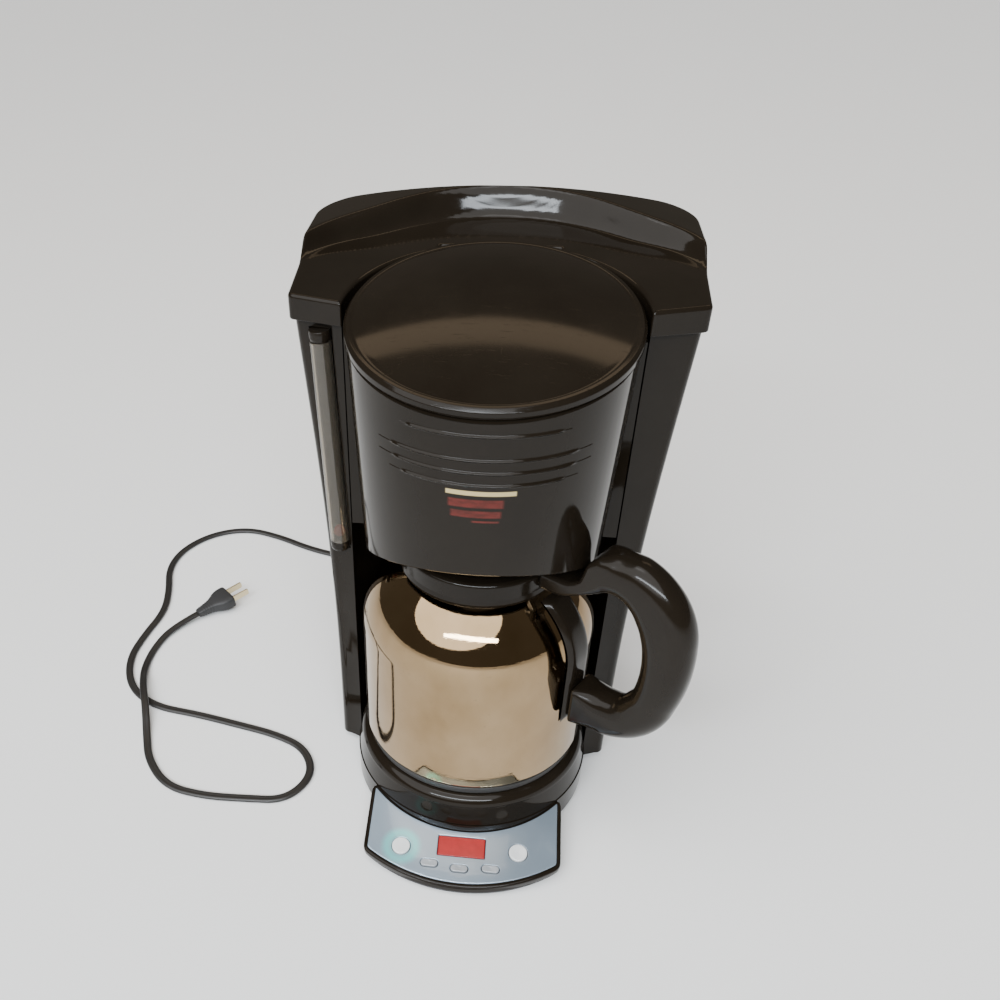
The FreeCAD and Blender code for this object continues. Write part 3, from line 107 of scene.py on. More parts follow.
def quads(rows, columns, wrap_rows=False, wrap_columns=True, start=0):
    """Four corners for each cell of a grid of points, numbered row by row."""
    index = np.arange(rows * columns).reshape(rows, columns) + start
    if wrap_rows:
        index = np.vstack([index, index[:1]])
    if wrap_columns:
        index = np.hstack([index, index[:, :1]])
    cells = np.stack([index[:-1, :-1], index[:-1, 1:], index[1:, 1:], index[1:, :-1]], -1)
    return cells.reshape(-1, 4).tolist()


def weighted_normals(mesh):
    """A vertex's normal is the sum of its faces' normals, each times that face's area."""
    count = len(mesh.polygons)
    normal, area, corners = np.empty(count * 3), np.empty(count), np.empty(count, int)
    mesh.polygons.foreach_get("normal", normal)
    mesh.polygons.foreach_get("area", area)
    mesh.polygons.foreach_get("loop_total", corners)
    vertex = np.empty(len(mesh.loops), int)
    mesh.loops.foreach_get("vertex_index", vertex)
    total = np.zeros((len(mesh.vertices), 3))
    pull = normal.reshape(-1, 3) * area[:, None]
    np.add.at(total, vertex, np.repeat(pull, corners, 0))
    total /= np.maximum(np.linalg.norm(total, axis=1, keepdims=True), 1e-15)
    mesh.polygons.foreach_set("use_smooth", np.ones(count, bool))
    mesh.normals_split_custom_set_from_vertices(total.tolist())


def piece(name, points, faces, finish, body, slot, instead_of=()):
    """One closed mesh: doubles merged, faces turned outwards, then put on its body."""
    mesh = bpy.data.meshes.new(name)
    mesh.from_pydata(np.asarray(points) * MM, [], faces)
    shape = bmesh.new()
    shape.from_mesh(mesh)
    bmesh.ops.remove_doubles(shape, verts=shape.verts, dist=3e-6)
    bmesh.ops.dissolve_degenerate(shape, edges=shape.edges, dist=1e-7)
    bmesh.ops.recalc_face_normals(shape, faces=shape.faces)
    shape.to_mesh(mesh)
    shape.free()
    weighted_normals(mesh)
    made = bpy.data.objects.new(name, mesh)
    bpy.context.scene.collection.objects.link(made)
    made.data.materials.append(finish.material)
    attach(made, body)
    if instead_of:
        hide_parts(*instead_of)
    print(f"{name}: {len(mesh.vertices)} points, {len(mesh.polygons)} faces")
    return made


def matrix(origin, axis="Z", degrees=0.0):
    """Turn about one axis, then move to an origin in millimetres."""
    return np.array(Matrix.Translation(origin) @ Matrix.Rotation(math.radians(degrees), 4, axis))


def placed(points, where):
    """Points carried by a four by four matrix."""
    flat = np.asarray(points, float).reshape(-1, 3)
    return flat @ where[:3, :3].T + where[:3, 3]


# %% [markdown]
# ## Rounded outlines
# Moulded parts have no sharp corner. An outline is given by its corners and a radius at each,
# and every corner is swapped for the arc that touches both of its edges.

# %% Outlines


def unit(vectors):
    return vectors / np.maximum(np.linalg.norm(vectors, axis=-1, keepdims=True), 1e-12)


def softened(corners, closed=False, steps=7):
    """(x, y, radius) corners to points: an arc's centre is radius / sin(half the corner) along
    the corner's bisector, and its points turn evenly from one edge to the other."""
    rows = np.array(corners, float)
    point, radius = rows[:, :2], rows[:, 2:3].copy()
    back, ahead = np.roll(point, 1, 0) - point, np.roll(point, -1, 0) - point
    if not closed:
        radius[[0, -1]] = 0.0
        back[0], ahead[-1] = -ahead[0], -back[-1]
    back, ahead = unit(back), unit(ahead)
    half = np.arccos(np.clip((back * ahead).sum(1, keepdims=True), -1, 0.9999)) / 2
    centre = point + unit(back + ahead) * radius / np.sin(half)
    reach = radius / np.tan(half)
    first, last = point + back * reach - centre, point + ahead * reach - centre
    turn = np.maximum(math.pi - 2 * half, 1e-5)[:, :, None]
    share = np.linspace(0, 1, steps)[None, :, None]
    arcs = (np.sin((1 - share) * turn) * first[:, None]
            + np.sin(share * turn) * last[:, None]) / np.sin(turn)
    path = (centre[:, None] + arcs).reshape(-1, 2)
    following = np.roll(path, -1, 0) if closed else np.vstack([path[1:], path[-1:] + 1.0])
    return path[np.linalg.norm(following - path, axis=1) > 1e-6]


def bow(start, end, radius, count=24):
    """Points of the arc from start to end: a positive radius turns left, a negative one right."""
    start, end = np.array(start, float), np.array(end, float)
    half = np.linalg.norm(end - start) / 2
    across = np.array([start[1] - end[1], end[0] - start[0]]) / (2 * half)
    lift = math.copysign(math.sqrt(radius * radius - half * half), radius)
    centre = (start + end) / 2 + across * lift
    first = math.atan2(*(start - centre)[::-1])
    sweep = math.copysign(2 * math.asin(min(half / abs(radius), 1.0)), radius)
    angle = first + np.linspace(0, sweep, count)
    return centre + abs(radius) * np.stack([np.cos(angle), np.sin(angle)], 1)


def relaxed(loop, spacing, reach):
    """A closed loop at even spacing, blurred along itself by a bell of this reach, which rounds
    its corners: each of its waves is scaled by exp(-(reach times its frequency)^2 / 2)."""
    whole = np.vstack([loop, loop[:1]])
    travel = np.concatenate([[0.0], np.cumsum(np.linalg.norm(np.diff(whole, axis=0), axis=1))])
    even = np.linspace(0, travel[-1], int(travel[-1] / spacing), endpoint=False)
    line = np.interp(even, travel, whole[:, 0]) + 1j * np.interp(even, travel, whole[:, 1])
    waves = 2 * math.pi * np.fft.fftfreq(len(line), travel[-1] / len(line))
    line = np.fft.ifft(np.fft.fft(line) * np.exp(-0.5 * (waves * reach) ** 2))
    return np.stack([line.real, line.imag], 1)


# %% [markdown]
# ## Turned pieces and slabs
# A turned piece is a profile carried round an axis, as on a lathe. A slab is an outline with
# a rounded edge between a floor and a roof, and its top may be any height over the plan.

# %% Turned pieces


def lathe(profile, where=np.eye(4), sides=128):
    """(radius, height) rows times (cos, sin) columns: a grid with one row for each point."""
    angle = np.linspace(0, 2 * math.pi, sides, endpoint=False)
    radius, height = profile[:, :1], profile[:, 1:]
    grid = np.stack([radius * np.cos(angle), radius * np.sin(angle),
                     height + 0 * angle], -1)
    closed = bool((profile[[0, -1], 0] > 1e-6).all())
    return placed(grid, where), quads(len(profile), sides, wrap_rows=closed)


# %% [markdown]
# A slab's top has to be filled between its outline and its holes. A Delaunay triangulation
# does that and passes through free points too, so a curved top has points to bend at.

# %% Slabs


def inward(loop):
    """Unit steps into the material on the left of a loop, stretched at corners so that both
    edges move by the same depth: the sum of two normals over one plus their dot product."""
    ahead = unit(np.roll(loop, -1, 0) - loop)
    normal = np.stack([-ahead[:, 1], ahead[:, 0]], 1)
    before = np.roll(normal, 1, 0)
    return (normal + before) / np.maximum(1 + (normal * before).sum(1, keepdims=True), 0.5)


def inside(points, loops):
    """True where a line to the right of a point crosses the loops an odd number of times."""
    x, y = points[:, :1], points[:, 1:]
    odd = np.zeros(len(points), bool)
    for loop in loops:
        start, end = loop, np.roll(loop, -1, 0)
        rise = end[:, 1] - start[:, 1]
        rise = np.where(np.abs(rise) < 1e-12, 1e-12, rise)
        straddle = (start[:, 1] > y) != (end[:, 1] > y)
        crossing = start[:, 0] + (y - start[:, 1]) / rise * (end[:, 0] - start[:, 0])
        odd ^= (straddle & (x < crossing)).sum(1) % 2 == 1
    return odd


def filled(loops, free):
    """Triangles that fill the loops and pass through the free points."""
    starts = np.cumsum([0] + [len(loop) for loop in loops])
    edges = np.vstack([np.stack([np.arange(len(loop)), np.roll(np.arange(len(loop)), -1)], 1) + start
                       for loop, start in zip(loops, starts)])
    points = np.vstack(list(loops) + [free])
    made = delaunay_2d_cdt(list(map(Vector, points)), edges.tolist(), [], 0, 1e-7)
    flat, triangles = np.array(made[0]), np.array(made[2])
    return flat, triangles[inside(flat[triangles].mean(1), loops)]


def level(height):
    """A flat floor or roof."""
    return lambda plan: np.full(len(plan), float(height))


def spread(across, deep):
    """A grid of free points: every step across with every step deep."""
    return np.stack(np.meshgrid(across, deep), -1).reshape(-1, 2)


def slab(loops, edge, floor, roof, free=np.empty((0, 2)), steps=6, low_edge=None):
    """Rows of each loop climb from the floor round both edges to the roof: over the edge at
    angle a, a row is inset by edge (1 - cos a) and lies edge (1 - sin a) below the roof. The
    edge is one number, or one for each point of each loop."""
    angles = np.linspace(0, math.pi / 2, steps)
    points, faces, count, low_rims, top_rims = [], [], 0, [], []
    for index, loop in enumerate(loops):
        step = inward(loop)
        top = np.full(len(loop), edge) if np.isscalar(edge) else edge[index]
        low = top if low_edge is None else np.full(len(loop), low_edge)
        rows = []
        for angle in angles:
            plan = loop + step * (low * (1 - math.sin(angle)))[:, None]
            rows.append(np.column_stack([plan, floor(plan) + low * (1 - math.cos(angle))]))
        for angle in angles:
            plan = loop + step * (top * (1 - math.cos(angle)))[:, None]
            rows.append(np.column_stack([plan, roof(plan) - top * (1 - math.sin(angle))]))
        low_rims.append(rows[0][:, :2])
        top_rims.append(rows[-1][:, :2])
        faces += quads(len(rows), len(loop), start=count)
        points += rows
        count += len(rows) * len(loop)
    for rims, height, middle in ((low_rims, floor, free[:0]), (top_rims, roof, free)):
        flat, triangles = filled(rims, middle)
        points.append(np.column_stack([flat, height(flat)]))
        faces += (triangles + count).tolist()
        count += len(flat)
    return np.vstack(points), faces


# %% [markdown]
# ## Shader sums in Python
# Materials read better as formulas. Value wraps a socket, and its operators add Math nodes;
# Finish makes any other node from its type, its settings and the values of its sockets.

# %% Finishes
OBJECT = 3


class Value:
    """A number that changes over a surface. Arithmetic on it adds Math nodes."""

    def __init__(self, finish, socket):
        self.finish = finish
        self.socket = socket

    def maths(self, operation, first, second):
        return self.finish.node("ShaderNodeMath", {"operation": operation}, {0: first, 1: second})

    def __add__(self, other):
        return self.maths("ADD", self, other)

    def __radd__(self, other):
        return self.maths("ADD", other, self)

    def __sub__(self, other):
        return self.maths("SUBTRACT", self, other)

    def __rsub__(self, other):
        return self.maths("SUBTRACT", other, self)

    def __mul__(self, other):
        return self.maths("MULTIPLY", self, other)

    def __rmul__(self, other):
        return self.maths("MULTIPLY", other, self)

    def __pow__(self, other):
        return self.maths("POWER", self, other)

    def between(self, low, high, soft):
        """One from low to high and nought outside, with edges this soft."""
        rise = self.finish.node("ShaderNodeMapRange", {"interpolation_type": "SMOOTHSTEP"},
                                {0: self, 1: low - soft, 2: low + soft, 3: 0.0, 4: 1.0})
        fall = self.finish.node("ShaderNodeMapRange", {"interpolation_type": "SMOOTHSTEP"},
                                {0: self, 1: high - soft, 2: high + soft, 3: 1.0, 4: 0.0})
        return rise * fall


class Finish:
    """A material: constants go on the shader's own sockets, and patterns feed a few of them."""

    def __init__(self, name, colour, **constants):
        self.material = bpy.data.materials.new(name)
        self.material.use_nodes = True
        self.tree = self.material.node_tree
        self.shader = self.tree.nodes["Principled BSDF"]
        self.shader.inputs["Base Color"].default_value = (*colour, 1.0)
        self.material.diffuse_color = (*colour, 1.0)
        for word, value in constants.items():
            socket = word.replace("_", " ").title().replace("Ior", "IOR")
            self.shader.inputs[socket].default_value = value

    def node(self, kind, settings=None, sockets=None, output=0):
        """Any node: its settings first, then the numbers or links of its sockets."""
        made = self.tree.nodes.new(kind)
        for name, value in (settings or {}).items():
            setattr(made, name, value)
        for name, value in (sockets or {}).items():
            if isinstance(value, Value):
                self.tree.links.new(value.socket, made.inputs[name])
            else:
                made.inputs[name].default_value = value
        return Value(self, made.outputs[output])

    def place(self, scale=(1, 1, 1), turn=(0, 0, 0)):
        """Object coordinates, stretched and turned."""
        where = self.node("ShaderNodeTexCoord", output=OBJECT)
        return self.node("ShaderNodeMapping", {}, {"Vector": where, "Scale": scale, "Rotation": turn})

    def axes(self):
        """Object coordinates as three numbers, in metres."""
        where = self.node("ShaderNodeTexCoord", output=OBJECT)
        split = self.tree.nodes.new("ShaderNodeSeparateXYZ")
        self.tree.links.new(where.socket, split.inputs[0])
        return [Value(self, out) for out in split.outputs]

    def noise(self, scale, detail=4.0, rough=0.5, stretch=(1, 1, 1), turn=(0, 0, 0)):
        """Clouds this many to the metre, finer along an axis that is stretched."""
        sockets = {"Vector": self.place(stretch, turn), "Scale": scale, "Detail": detail,
                   "Roughness": rough}
        return self.node("ShaderNodeTexNoise", {}, sockets)

    def ramp(self, factor, low, high):
        """Nought below low, one above high, and a straight line between."""
        return self.node("ShaderNodeMapRange", {}, {0: factor, 1: low, 2: high, 3: 0.0, 4: 1.0})

    def blend(self, factor, first, second):
        """A colour mixed from two, which may be links or plain colours."""
        ready = [colour if isinstance(colour, Value) else (*colour, 1.0) for colour in (first, second)]
        return self.node("ShaderNodeMix", {"data_type": "RGBA"}, {0: factor, 6: ready[0], 7: ready[1]},
                         output=2)

    def feed(self, name, value):
        self.tree.links.new(value.socket, self.shader.inputs[name])

    def bump(self, height, distance, strength=1.0):
        """A height in metres that tilts the surface's normal."""
        raised = self.node("ShaderNodeBump", {}, {"Height": height, "Distance": distance,
                                                  "Strength": strength})
        self.feed("Normal", raised)


# %% [markdown]
# ## The finishes
# Black moulded plastic with a polished face, hand marks and hairlines; mirror steel with a
# painted warm reflection; the panel's metallic lacquer with painted shade on its right side;
# clear and coloured plastics; rubber and brass.

# %% Plastics


def printed_bars(finish):
    """The gold bar and the red rows on the column's front: each is one inside its left, right,
    low and high edges, which are as soft as its last two numbers say."""
    x, y, z = finish.axes()

    def bar(left, right, low, high, soft_sides, soft_ends):
        return x.between(left, right, soft_sides) * z.between(low, high, soft_ends)

    gold = bar(-0.0185, 0.019, 0.2960, 0.2988, 0.0004, 0.0003)
    rows = bar(-0.0170, 0.0125, 0.2882, 0.2934, 0.001, 0.0005) \
        + bar(-0.0155, 0.0115, 0.2818, 0.2862, 0.001, 0.0005) \
        + bar(-0.004, 0.0105, 0.2786, 0.2798, 0.001, 0.0003)
    front = y.between(-0.2, -0.05, 0.004)
    return gold * front, rows * front


def polished_black(name, colour=(0.0085, 0.0062, 0.0040), gloss=0.06, hairlines=0.5, bars=False):
    """Gloss with broad smears, fine dust and hairline scratches in its roughness."""
    made = Finish(name, colour, specular_ior_level=0.17)
    smear = made.ramp(made.noise(14.0, 5.0, 0.6), 0.35, 0.75)
    dust = made.ramp(made.noise(900.0, 2.0, 0.7), 0.62, 0.8)
    hair = made.ramp(made.noise(60.0, 3.0, 0.7, (1, 22, 1), (0.3, 0.2, 0.7)), 0.66, 0.72)
    cross = made.ramp(made.noise(70.0, 3.0, 0.7, (20, 1, 1), (0.1, 0.4, -0.5)), 0.67, 0.73)
    marks = (hair + cross) * hairlines
    dusty = tuple(part * 1.6 + 0.002 for part in colour)
    tone = made.blend(smear * 0.5 + dust * 0.3, colour, dusty)
    rough = gloss + smear * 0.05 + dust * 0.08 + marks * 0.12
    if bars:
        gold, rows = printed_bars(made)
        weave = made.ramp(made.noise(420.0, 2.0, 0.6, (0.3, 1, 1)), 0.35, 0.65)
        tone = made.blend(rows * (0.45 + weave * 0.35), tone, (0.12, 0.02, 0.016))
        tone = made.blend(gold, tone, (0.46, 0.37, 0.18))
        rough = rough + (gold + rows) * 0.22
    made.feed("Base Color", tone)
    made.feed("Roughness", rough)
    made.bump(made.noise(45.0, 2.0, 0.4) + marks * -0.25, 0.00012, 0.35)
    return made


def plain_plastic(name, colour, rough, grain=600.0, depth=0.00006, **constants):
    """Colour and roughness that drift a little, over a fine moulded grain."""
    made = Finish(name, colour, **constants)
    drift = made.noise(30.0, 3.0, 0.6)
    grit = made.noise(grain, 2.0, 0.6)
    shade = tuple(part * 0.78 for part in colour)
    made.feed("Base Color", made.blend(made.ramp(drift, 0.3, 0.7), colour, shade))
    made.feed("Roughness", rough + drift * 0.1 + grit * 0.06)
    made.bump(grit, depth, 0.5)
    return made


black_shell = polished_black("black_shell", hairlines=0.12)
black_column = polished_black("black_column", hairlines=0.12, bars=True)
black_lid = polished_black("black_lid", gloss=0.08, hairlines=1.0)
black_handle = polished_black("black_handle", gloss=0.12, hairlines=0.4)
black_satin = plain_plastic("black_satin", (0.022, 0.021, 0.02), 0.38)
rubber = plain_plastic("rubber", (0.02, 0.02, 0.021), 0.5, 900.0)
cord_skin = plain_plastic("cord_skin", (0.017, 0.016, 0.0155), 0.3, 1200.0)
grey_plastic = plain_plastic("grey_plastic", (0.42, 0.42, 0.41), 0.42)
silicone_tube = plain_plastic("silicone_tube", (0.72, 0.71, 0.66), 0.4)
ceramic = plain_plastic("ceramic", (0.82, 0.80, 0.75), 0.5)
tank_clear = plain_plastic("tank_clear", (0.66, 0.69, 0.71), 0.3, 300.0)
print(len(bpy.data.materials), "materials so far")

# %% [markdown]
# Bare metal has no colour of its own but the tint of what it mirrors, so each metal differs
# by its tint and by how its grain is stretched. The mirror steel's warm tint is a painted
# reflection of a warm room. The display is the one finish that glows.

# %% Metals, panel and display


def metal(name, colour, rough, streaks=0.0, grain=200.0, stretch=(1, 1, 1)):
    """Bare metal: its tone drifts, and a stretched grain lifts its roughness and its bump."""
    made = Finish(name, colour, metallic=1.0)
    drift = made.noise(9.0, 3.0, 0.5)
    line = made.noise(grain, 3.0, 0.6, stretch)
    shade = tuple(part * 0.88 for part in colour)
    made.feed("Base Color", made.blend(made.ramp(drift, 0.3, 0.7), colour, shade))
    made.feed("Roughness", rough + drift * 0.03 + line * streaks)
    made.bump(line, 0.00004, 0.25)
    return made


def painted_reflection_steel():
    """Mirror steel: its warm tint and the clouds in it are a painted reflection of a warm, dark room;
    wiping marks round it, and a gentle waviness.
    """
    # Painted reflection: the warm brown colour, the cloud mask and the tone blended from it stand for a
    # warm room mirrored in the steel.
    made = Finish("mirror_steel", (0.32, 0.22, 0.125), metallic=1.0)
    cloud = made.ramp(made.noise(13.0, 4.0, 0.6, (1, 1, 0.7)), 0.3, 0.7)
    wipe = made.ramp(made.noise(45.0, 4.0, 0.65, (1, 1, 9)), 0.45, 0.8)
    spots = made.ramp(made.noise(420.0, 2.0, 0.6), 0.66, 0.78)
    tone = made.blend(cloud, (0.25, 0.168, 0.085), (0.38, 0.275, 0.165))
    made.feed("Base Color", made.blend(spots * 0.35, tone, (0.14, 0.10, 0.06)))
    made.feed("Roughness", 0.022 + wipe * 0.05 + spots * 0.12 + cloud * 0.02)
    made.bump(made.noise(16.0, 2.0, 0.45) + wipe * 0.02, 0.0011, 0.5)
    return made


mirror_steel = painted_reflection_steel()
plain_steel = metal("plain_steel", (0.66, 0.65, 0.63), 0.25, 0.15)
cast_aluminium = metal("cast_aluminium", (0.70, 0.70, 0.71), 0.42, 0.15, 500.0)
gold_mesh = metal("gold_mesh", (0.74, 0.57, 0.26), 0.3, 0.2, 1500.0)
brass = metal("brass", (0.78, 0.66, 0.42), 0.22, 0.12)


def silver_lacquer(name, colour, halo):
    """Metallic lacquer under a clear coat, with painted shade over its right side and a pale green glow
    round the left button.
    """
    made = Finish(name, colour, metallic=0.5, coat_weight=0.8, coat_roughness=0.03)
    x, y, _ = made.axes()
    drift = made.ramp(made.noise(18.0, 3.0, 0.5), 0.35, 0.65)
    flake = made.noise(2600.0, 1.0, 0.5)
    tone = made.blend(drift, colour, tuple(part * 0.86 for part in colour))
    # Painted shade: the plate is darkened towards its right side, where it mirrors less light.
    painted_shade_right = x.between(0.02, 0.09, 0.03) * 0.45
    tone = made.blend(painted_shade_right, tone, tuple(part * 0.55 for part in colour))
    from_button = ((x + 0.0423) ** 2.0 + (y + 0.1015) ** 2.0) ** 0.5
    tone = made.blend(from_button.between(0.0075, 0.0125, 0.0035) * halo, tone, (0.22, 0.74, 0.74))
    made.feed("Base Color", tone)
    made.feed("Roughness", 0.16 + flake * 0.08 + drift * 0.05)
    return made


panel_silver = silver_lacquer("panel_silver", (0.33, 0.41, 0.49), halo=0.85)
button_silver = plain_plastic("button_silver", (0.78, 0.80, 0.80), 0.12, coat_weight=0.6)
button_dark = plain_plastic("button_dark", (0.33, 0.35, 0.37), 0.14, coat_weight=0.6)


def display_glass():
    """A lit red display: a cloudy red, darker towards its border, behind a glossy pane."""
    made = Finish("display_glass", (0.3, 0.004, 0.01), emission_strength=0.35, coat_weight=0.2)
    x, y, _ = made.axes()
    cloud = made.ramp(made.noise(160.0, 3.0, 0.6), 0.3, 0.7)
    edge = 1.0 - x.between(-0.0155, 0.0155, 0.0009) * y.between(-0.1052, -0.0912, 0.0009)
    tone = made.blend(cloud * 0.5 + edge * 0.5, (0.30, 0.004, 0.009), (0.18, 0.002, 0.004))
    made.feed("Base Color", tone)
    made.feed("Emission Color", tone)
    made.feed("Roughness", 0.16 + cloud * 0.08)
    return made


display_red = display_glass()
float_red = plain_plastic("float_red", (0.75, 0.10, 0.09), 0.25)
green_board = plain_plastic("green_board", (0.03, 0.20, 0.09), 0.35)
smoked = Finish("smoked", (0.33, 0.29, 0.23), transmission_weight=0.9, ior=1.49, specular_ior_level=0.3)
smoked.feed("Roughness", 0.04 + smoked.noise(120.0, 3.0, 0.6) * 0.1)
print(len(bpy.data.materials), "materials")

# %% [markdown]
# ## The cord
# A flat twin lead leaves the back, runs out to the left, loops behind the machine's left side
# and crosses itself before it ends in a two-bladed plug. The route is one smooth NURBS line,
# and the twin section is carried along it, lying flat on the table.

# %% The cord's route
LIES, HUMP = 1.9, 8.6
route = np.array([
    (-72, 164, 14), (-72, 186, 14), (-80, 214, LIES), (-108, 241, LIES), (-142, 252, LIES),
    (-178, 262, LIES), (-214, 280, LIES), (-250, 290, LIES), (-284, 277, LIES),
    (-307, 248, LIES), (-312, 215, LIES), (-301, 180, LIES), (-296, 148, LIES),
    (-304, 113, LIES), (-307, 80, LIES), (-294, 46, LIES), (-266, 26, LIES), (-228, 21, LIES),
    (-190, 13, LIES), (-158, 6, LIES), (-131, -6, LIES), (-119, -33, LIES), (-135, -60, LIES),
    (-167, -62, LIES), (-199, -63, LIES), (-230, -57, LIES), (-252, -33, LIES),
    (-262, -7, LIES), (-270, 18, HUMP), (-281, 44, HUMP), (-290, 72, LIES), (-289, 100, LIES),
    (-280, 126, LIES + 1.5), (-261, 145, 6.0)], float)


def followed(points):
    """The smooth line's own points, in millimetres, as Blender evaluates it."""
    curve = bpy.data.curves.new("route", "CURVE")
    curve.dimensions = "3D"
    spline = curve.splines.new("NURBS")
    spline.points.add(len(points) - 1)
    spline.points.foreach_set("co", np.column_stack([points * MM, np.ones(len(points))]).ravel())
    spline.order_u = 3
    spline.use_endpoint_u = True
    spline.resolution_u = 14
    holder = bpy.data.objects.new("route", curve)
    bpy.context.scene.collection.objects.link(holder)
    bpy.context.view_layer.update()
    mesh = bpy.data.meshes.new_from_object(holder)
    line = np.empty(len(mesh.vertices) * 3)
    mesh.vertices.foreach_get("co", line)
    bpy.data.objects.remove(holder)
    bpy.data.meshes.remove(mesh)
    return line.reshape(-1, 3) / MM


line = followed(route)

# %% The cord's skin


def twin_section(width, thickness, count=28):
    """Two round cores side by side: height falls off at the ends, and dips along the middle."""
    angle = np.linspace(0, 2 * math.pi, count, endpoint=False)
    across = np.sign(np.cos(angle)) * np.abs(np.cos(angle)) ** 0.9 * width / 2
    dip = 1 - 0.26 * np.exp(-(across / (width * 0.13)) ** 2)
    up = np.sign(np.sin(angle)) * np.abs(np.sin(angle)) ** 0.75 * thickness / 2 * dip
    return np.stack([across, up], 1)


def along(line, section):
    """Each row is the section laid across the line: its width level, its height square to both."""
    heading = unit(np.gradient(line, axis=0))
    level_side = unit(np.cross(heading, (0.0, 0.0, 1.0)))
    up = np.cross(level_side, heading)
    rows = line[:, None] + section[:, :1] * level_side[:, None] + section[:, 1:] * up[:, None]
    return np.concatenate([np.repeat(line[:1, None], len(section), 1), rows,
                           np.repeat(line[-1:, None], len(section), 1)])


section = twin_section(6.4, 3.5)
skin = along(line, section)
cord = piece("power_lead", skin.reshape(-1, 3), quads(*skin.shape[:2]), cord_skin, "base",
             "rubber_black", ["power_cord"])

# %% [markdown]
# A ribbed boot keeps the lead from kinking where it leaves the tower, and the plug is a soft
# moulding that grows from the lead's size to that of its face. The boot is turned on its own
# axis. The plug is a pile of rings, each a rectangle with generous corners.

# %% The strain relief
ridges = softened([(0, 0, 0), (7.3, 0, 0.5), (7.2, 4.5, 0.8), (6.0, 5.0, 0.4), (6.1, 6.6, 0.4),
                   (6.7, 7.0, 0.6), (6.5, 11.5, 0.6), (5.4, 12.0, 0.4), (5.5, 13.6, 0.4),
                   (6.0, 14.0, 0.6), (5.8, 18.5, 0.6), (4.9, 19.0, 0.4), (5.0, 20.6, 0.4),
                   (5.4, 21.0, 0.6), (5.1, 26.0, 0.6), (4.4, 26.6, 0.3), (4.4, 28.2, 0.3),
                   (4.7, 28.8, 0.5), (4.3, 36.4, 0.8), (0, 36.5, 0)])
relief = piece("relief_boot", *lathe(ridges, matrix((-72, 127.5, 14), "X", -90), 48), rubber,
               "base", "rubber_black", ["cord_relief"])


# %% The plug


def plug_axes():
    """The plug lies in line with the lead's last run: down, level side, and ahead."""
    ahead = unit(np.array([19.0, 19.0, 2.8]))
    side = unit(np.cross((0.0, 0.0, 1.0), ahead))
    axes = np.eye(4)
    axes[:3, :3] = np.column_stack([np.cross(side, ahead), side, ahead])
    axes[:3, 3] = (-261, 145, 6.2)
    return axes


def squarish(widths, heights, steps, power=0.42, count=48):
    """Rings of |cos|^power by |sin|^power, which is a rectangle with generous corners."""
    angle = np.linspace(0, 2 * math.pi, count, endpoint=False)
    x = np.sign(np.cos(angle)) * np.abs(np.cos(angle)) ** power
    y = np.sign(np.sin(angle)) * np.abs(np.sin(angle)) ** power
    return np.stack([heights[:, None] / 2 * x, widths[:, None] / 2 * y, steps[:, None] + 0 * x], -1)


reach = np.array([-1.0, -1.0, -0.6, 2.0, 5.0, 8.0, 11.0, 14.0, 17.0, 20.0, 23.0, 26.0, 29.0, 32.2,
                  33.4, 33.9, 34.0, 34.0])
wide = np.array([0.0, 6.4, 7.4, 8.4, 9.0, 9.8, 11.0, 12.6, 15.6, 19.4, 22.2, 23.6, 24.0, 23.9,
                 23.2, 21.6, 18.0, 0.0])
tall = np.array([0.0, 4.6, 5.6, 6.6, 7.4, 8.0, 8.5, 9.2, 10.2, 11.2, 11.9, 12.3, 12.4, 12.2,
                 11.6, 10.2, 7.0, 0.0])
fine = np.concatenate([reach[:3], np.linspace(-0.4, 32.2, 90), reach[14:]])
grip = np.exp(-((fine - 8) / 6.0) ** 2) * 0.35 * np.sin(fine * 2.6)
climb = reach + np.arange(len(reach)) * 1e-7
rings = squarish(np.interp(fine, climb, wide) + grip, np.interp(fine, climb, tall) + grip, fine)
rings[0, :, :2], rings[-1, :, :2] = 0.0, 0.0
plug = piece("plug_moulding", placed(rings, plug_axes()), quads(*rings.shape[:2]), rubber, "base",
             "rubber_black", ["plug_body"])

# %% The blades, and what the lead is
blades = []
for side_shift in (-6.35, 6.35):
    blade = softened([(-3.1, 0, 0.5), (3.1, 0, 0.5), (3.1, 17, 1.6), (-3.1, 17, 1.6)], True, 5)
    points, faces = slab([blade], 0.3, level(-0.7), level(0.7), steps=3)
    upright = np.stack([points[:, 0], points[:, 2] + side_shift, points[:, 1] + 33.9], 1)
    blades.append(piece(f"plug_blade_{len(blades)}", placed(upright, plug_axes()), faces, brass,
                        "base", "brass", ["plug_blades"]))

# %% [markdown]
# ## The carafe
# A vacuum carafe of polished steel: a straight side, a domed shoulder and a short neck. The
# shoulder is a quarter ellipse, so its points come from an angle and not from corners.

# %% The steel shell
SHOULDER, DOME, SIDE, NECK = 150.0, 60.0, 79.0, 50.0
turn = np.linspace(0, math.acos(NECK / SIDE), 40)
shoulder = np.stack([SIDE * np.cos(turn), SHOULDER + DOME * np.sin(turn)], 1)
foot = softened([(0, 54, 0), (SIDE, 54, 5.0), (SIDE, 150, 0)])
mouth = softened([(NECK, 196.5, 0), (NECK, 207, 0.4), (49.1, 207, 0.4), (49.1, 199, 0)])
back_down = shoulder[::-1] - unit(np.column_stack([np.cos(turn), np.sin(turn)]))[::-1] * 0.9
inner_foot = softened([(SIDE - 0.9, 150, 0), (SIDE - 0.9, 54.9, 4.1), (0, 54.9, 0)])
shell_profile = np.vstack([foot[:-1], shoulder, mouth, back_down, inner_foot[1:]])
piece("steel_shell", *lathe(shell_profile, sides=192), mirror_steel, "carafe", "mirror_steel",
      ["carafe_shell"])

# %% [markdown]
# A black collar hides the rolled neck, the stopper sits in it with a dish that leads coffee to
# its hole, and a ring under the shell keeps it off the mat. All three are turned.

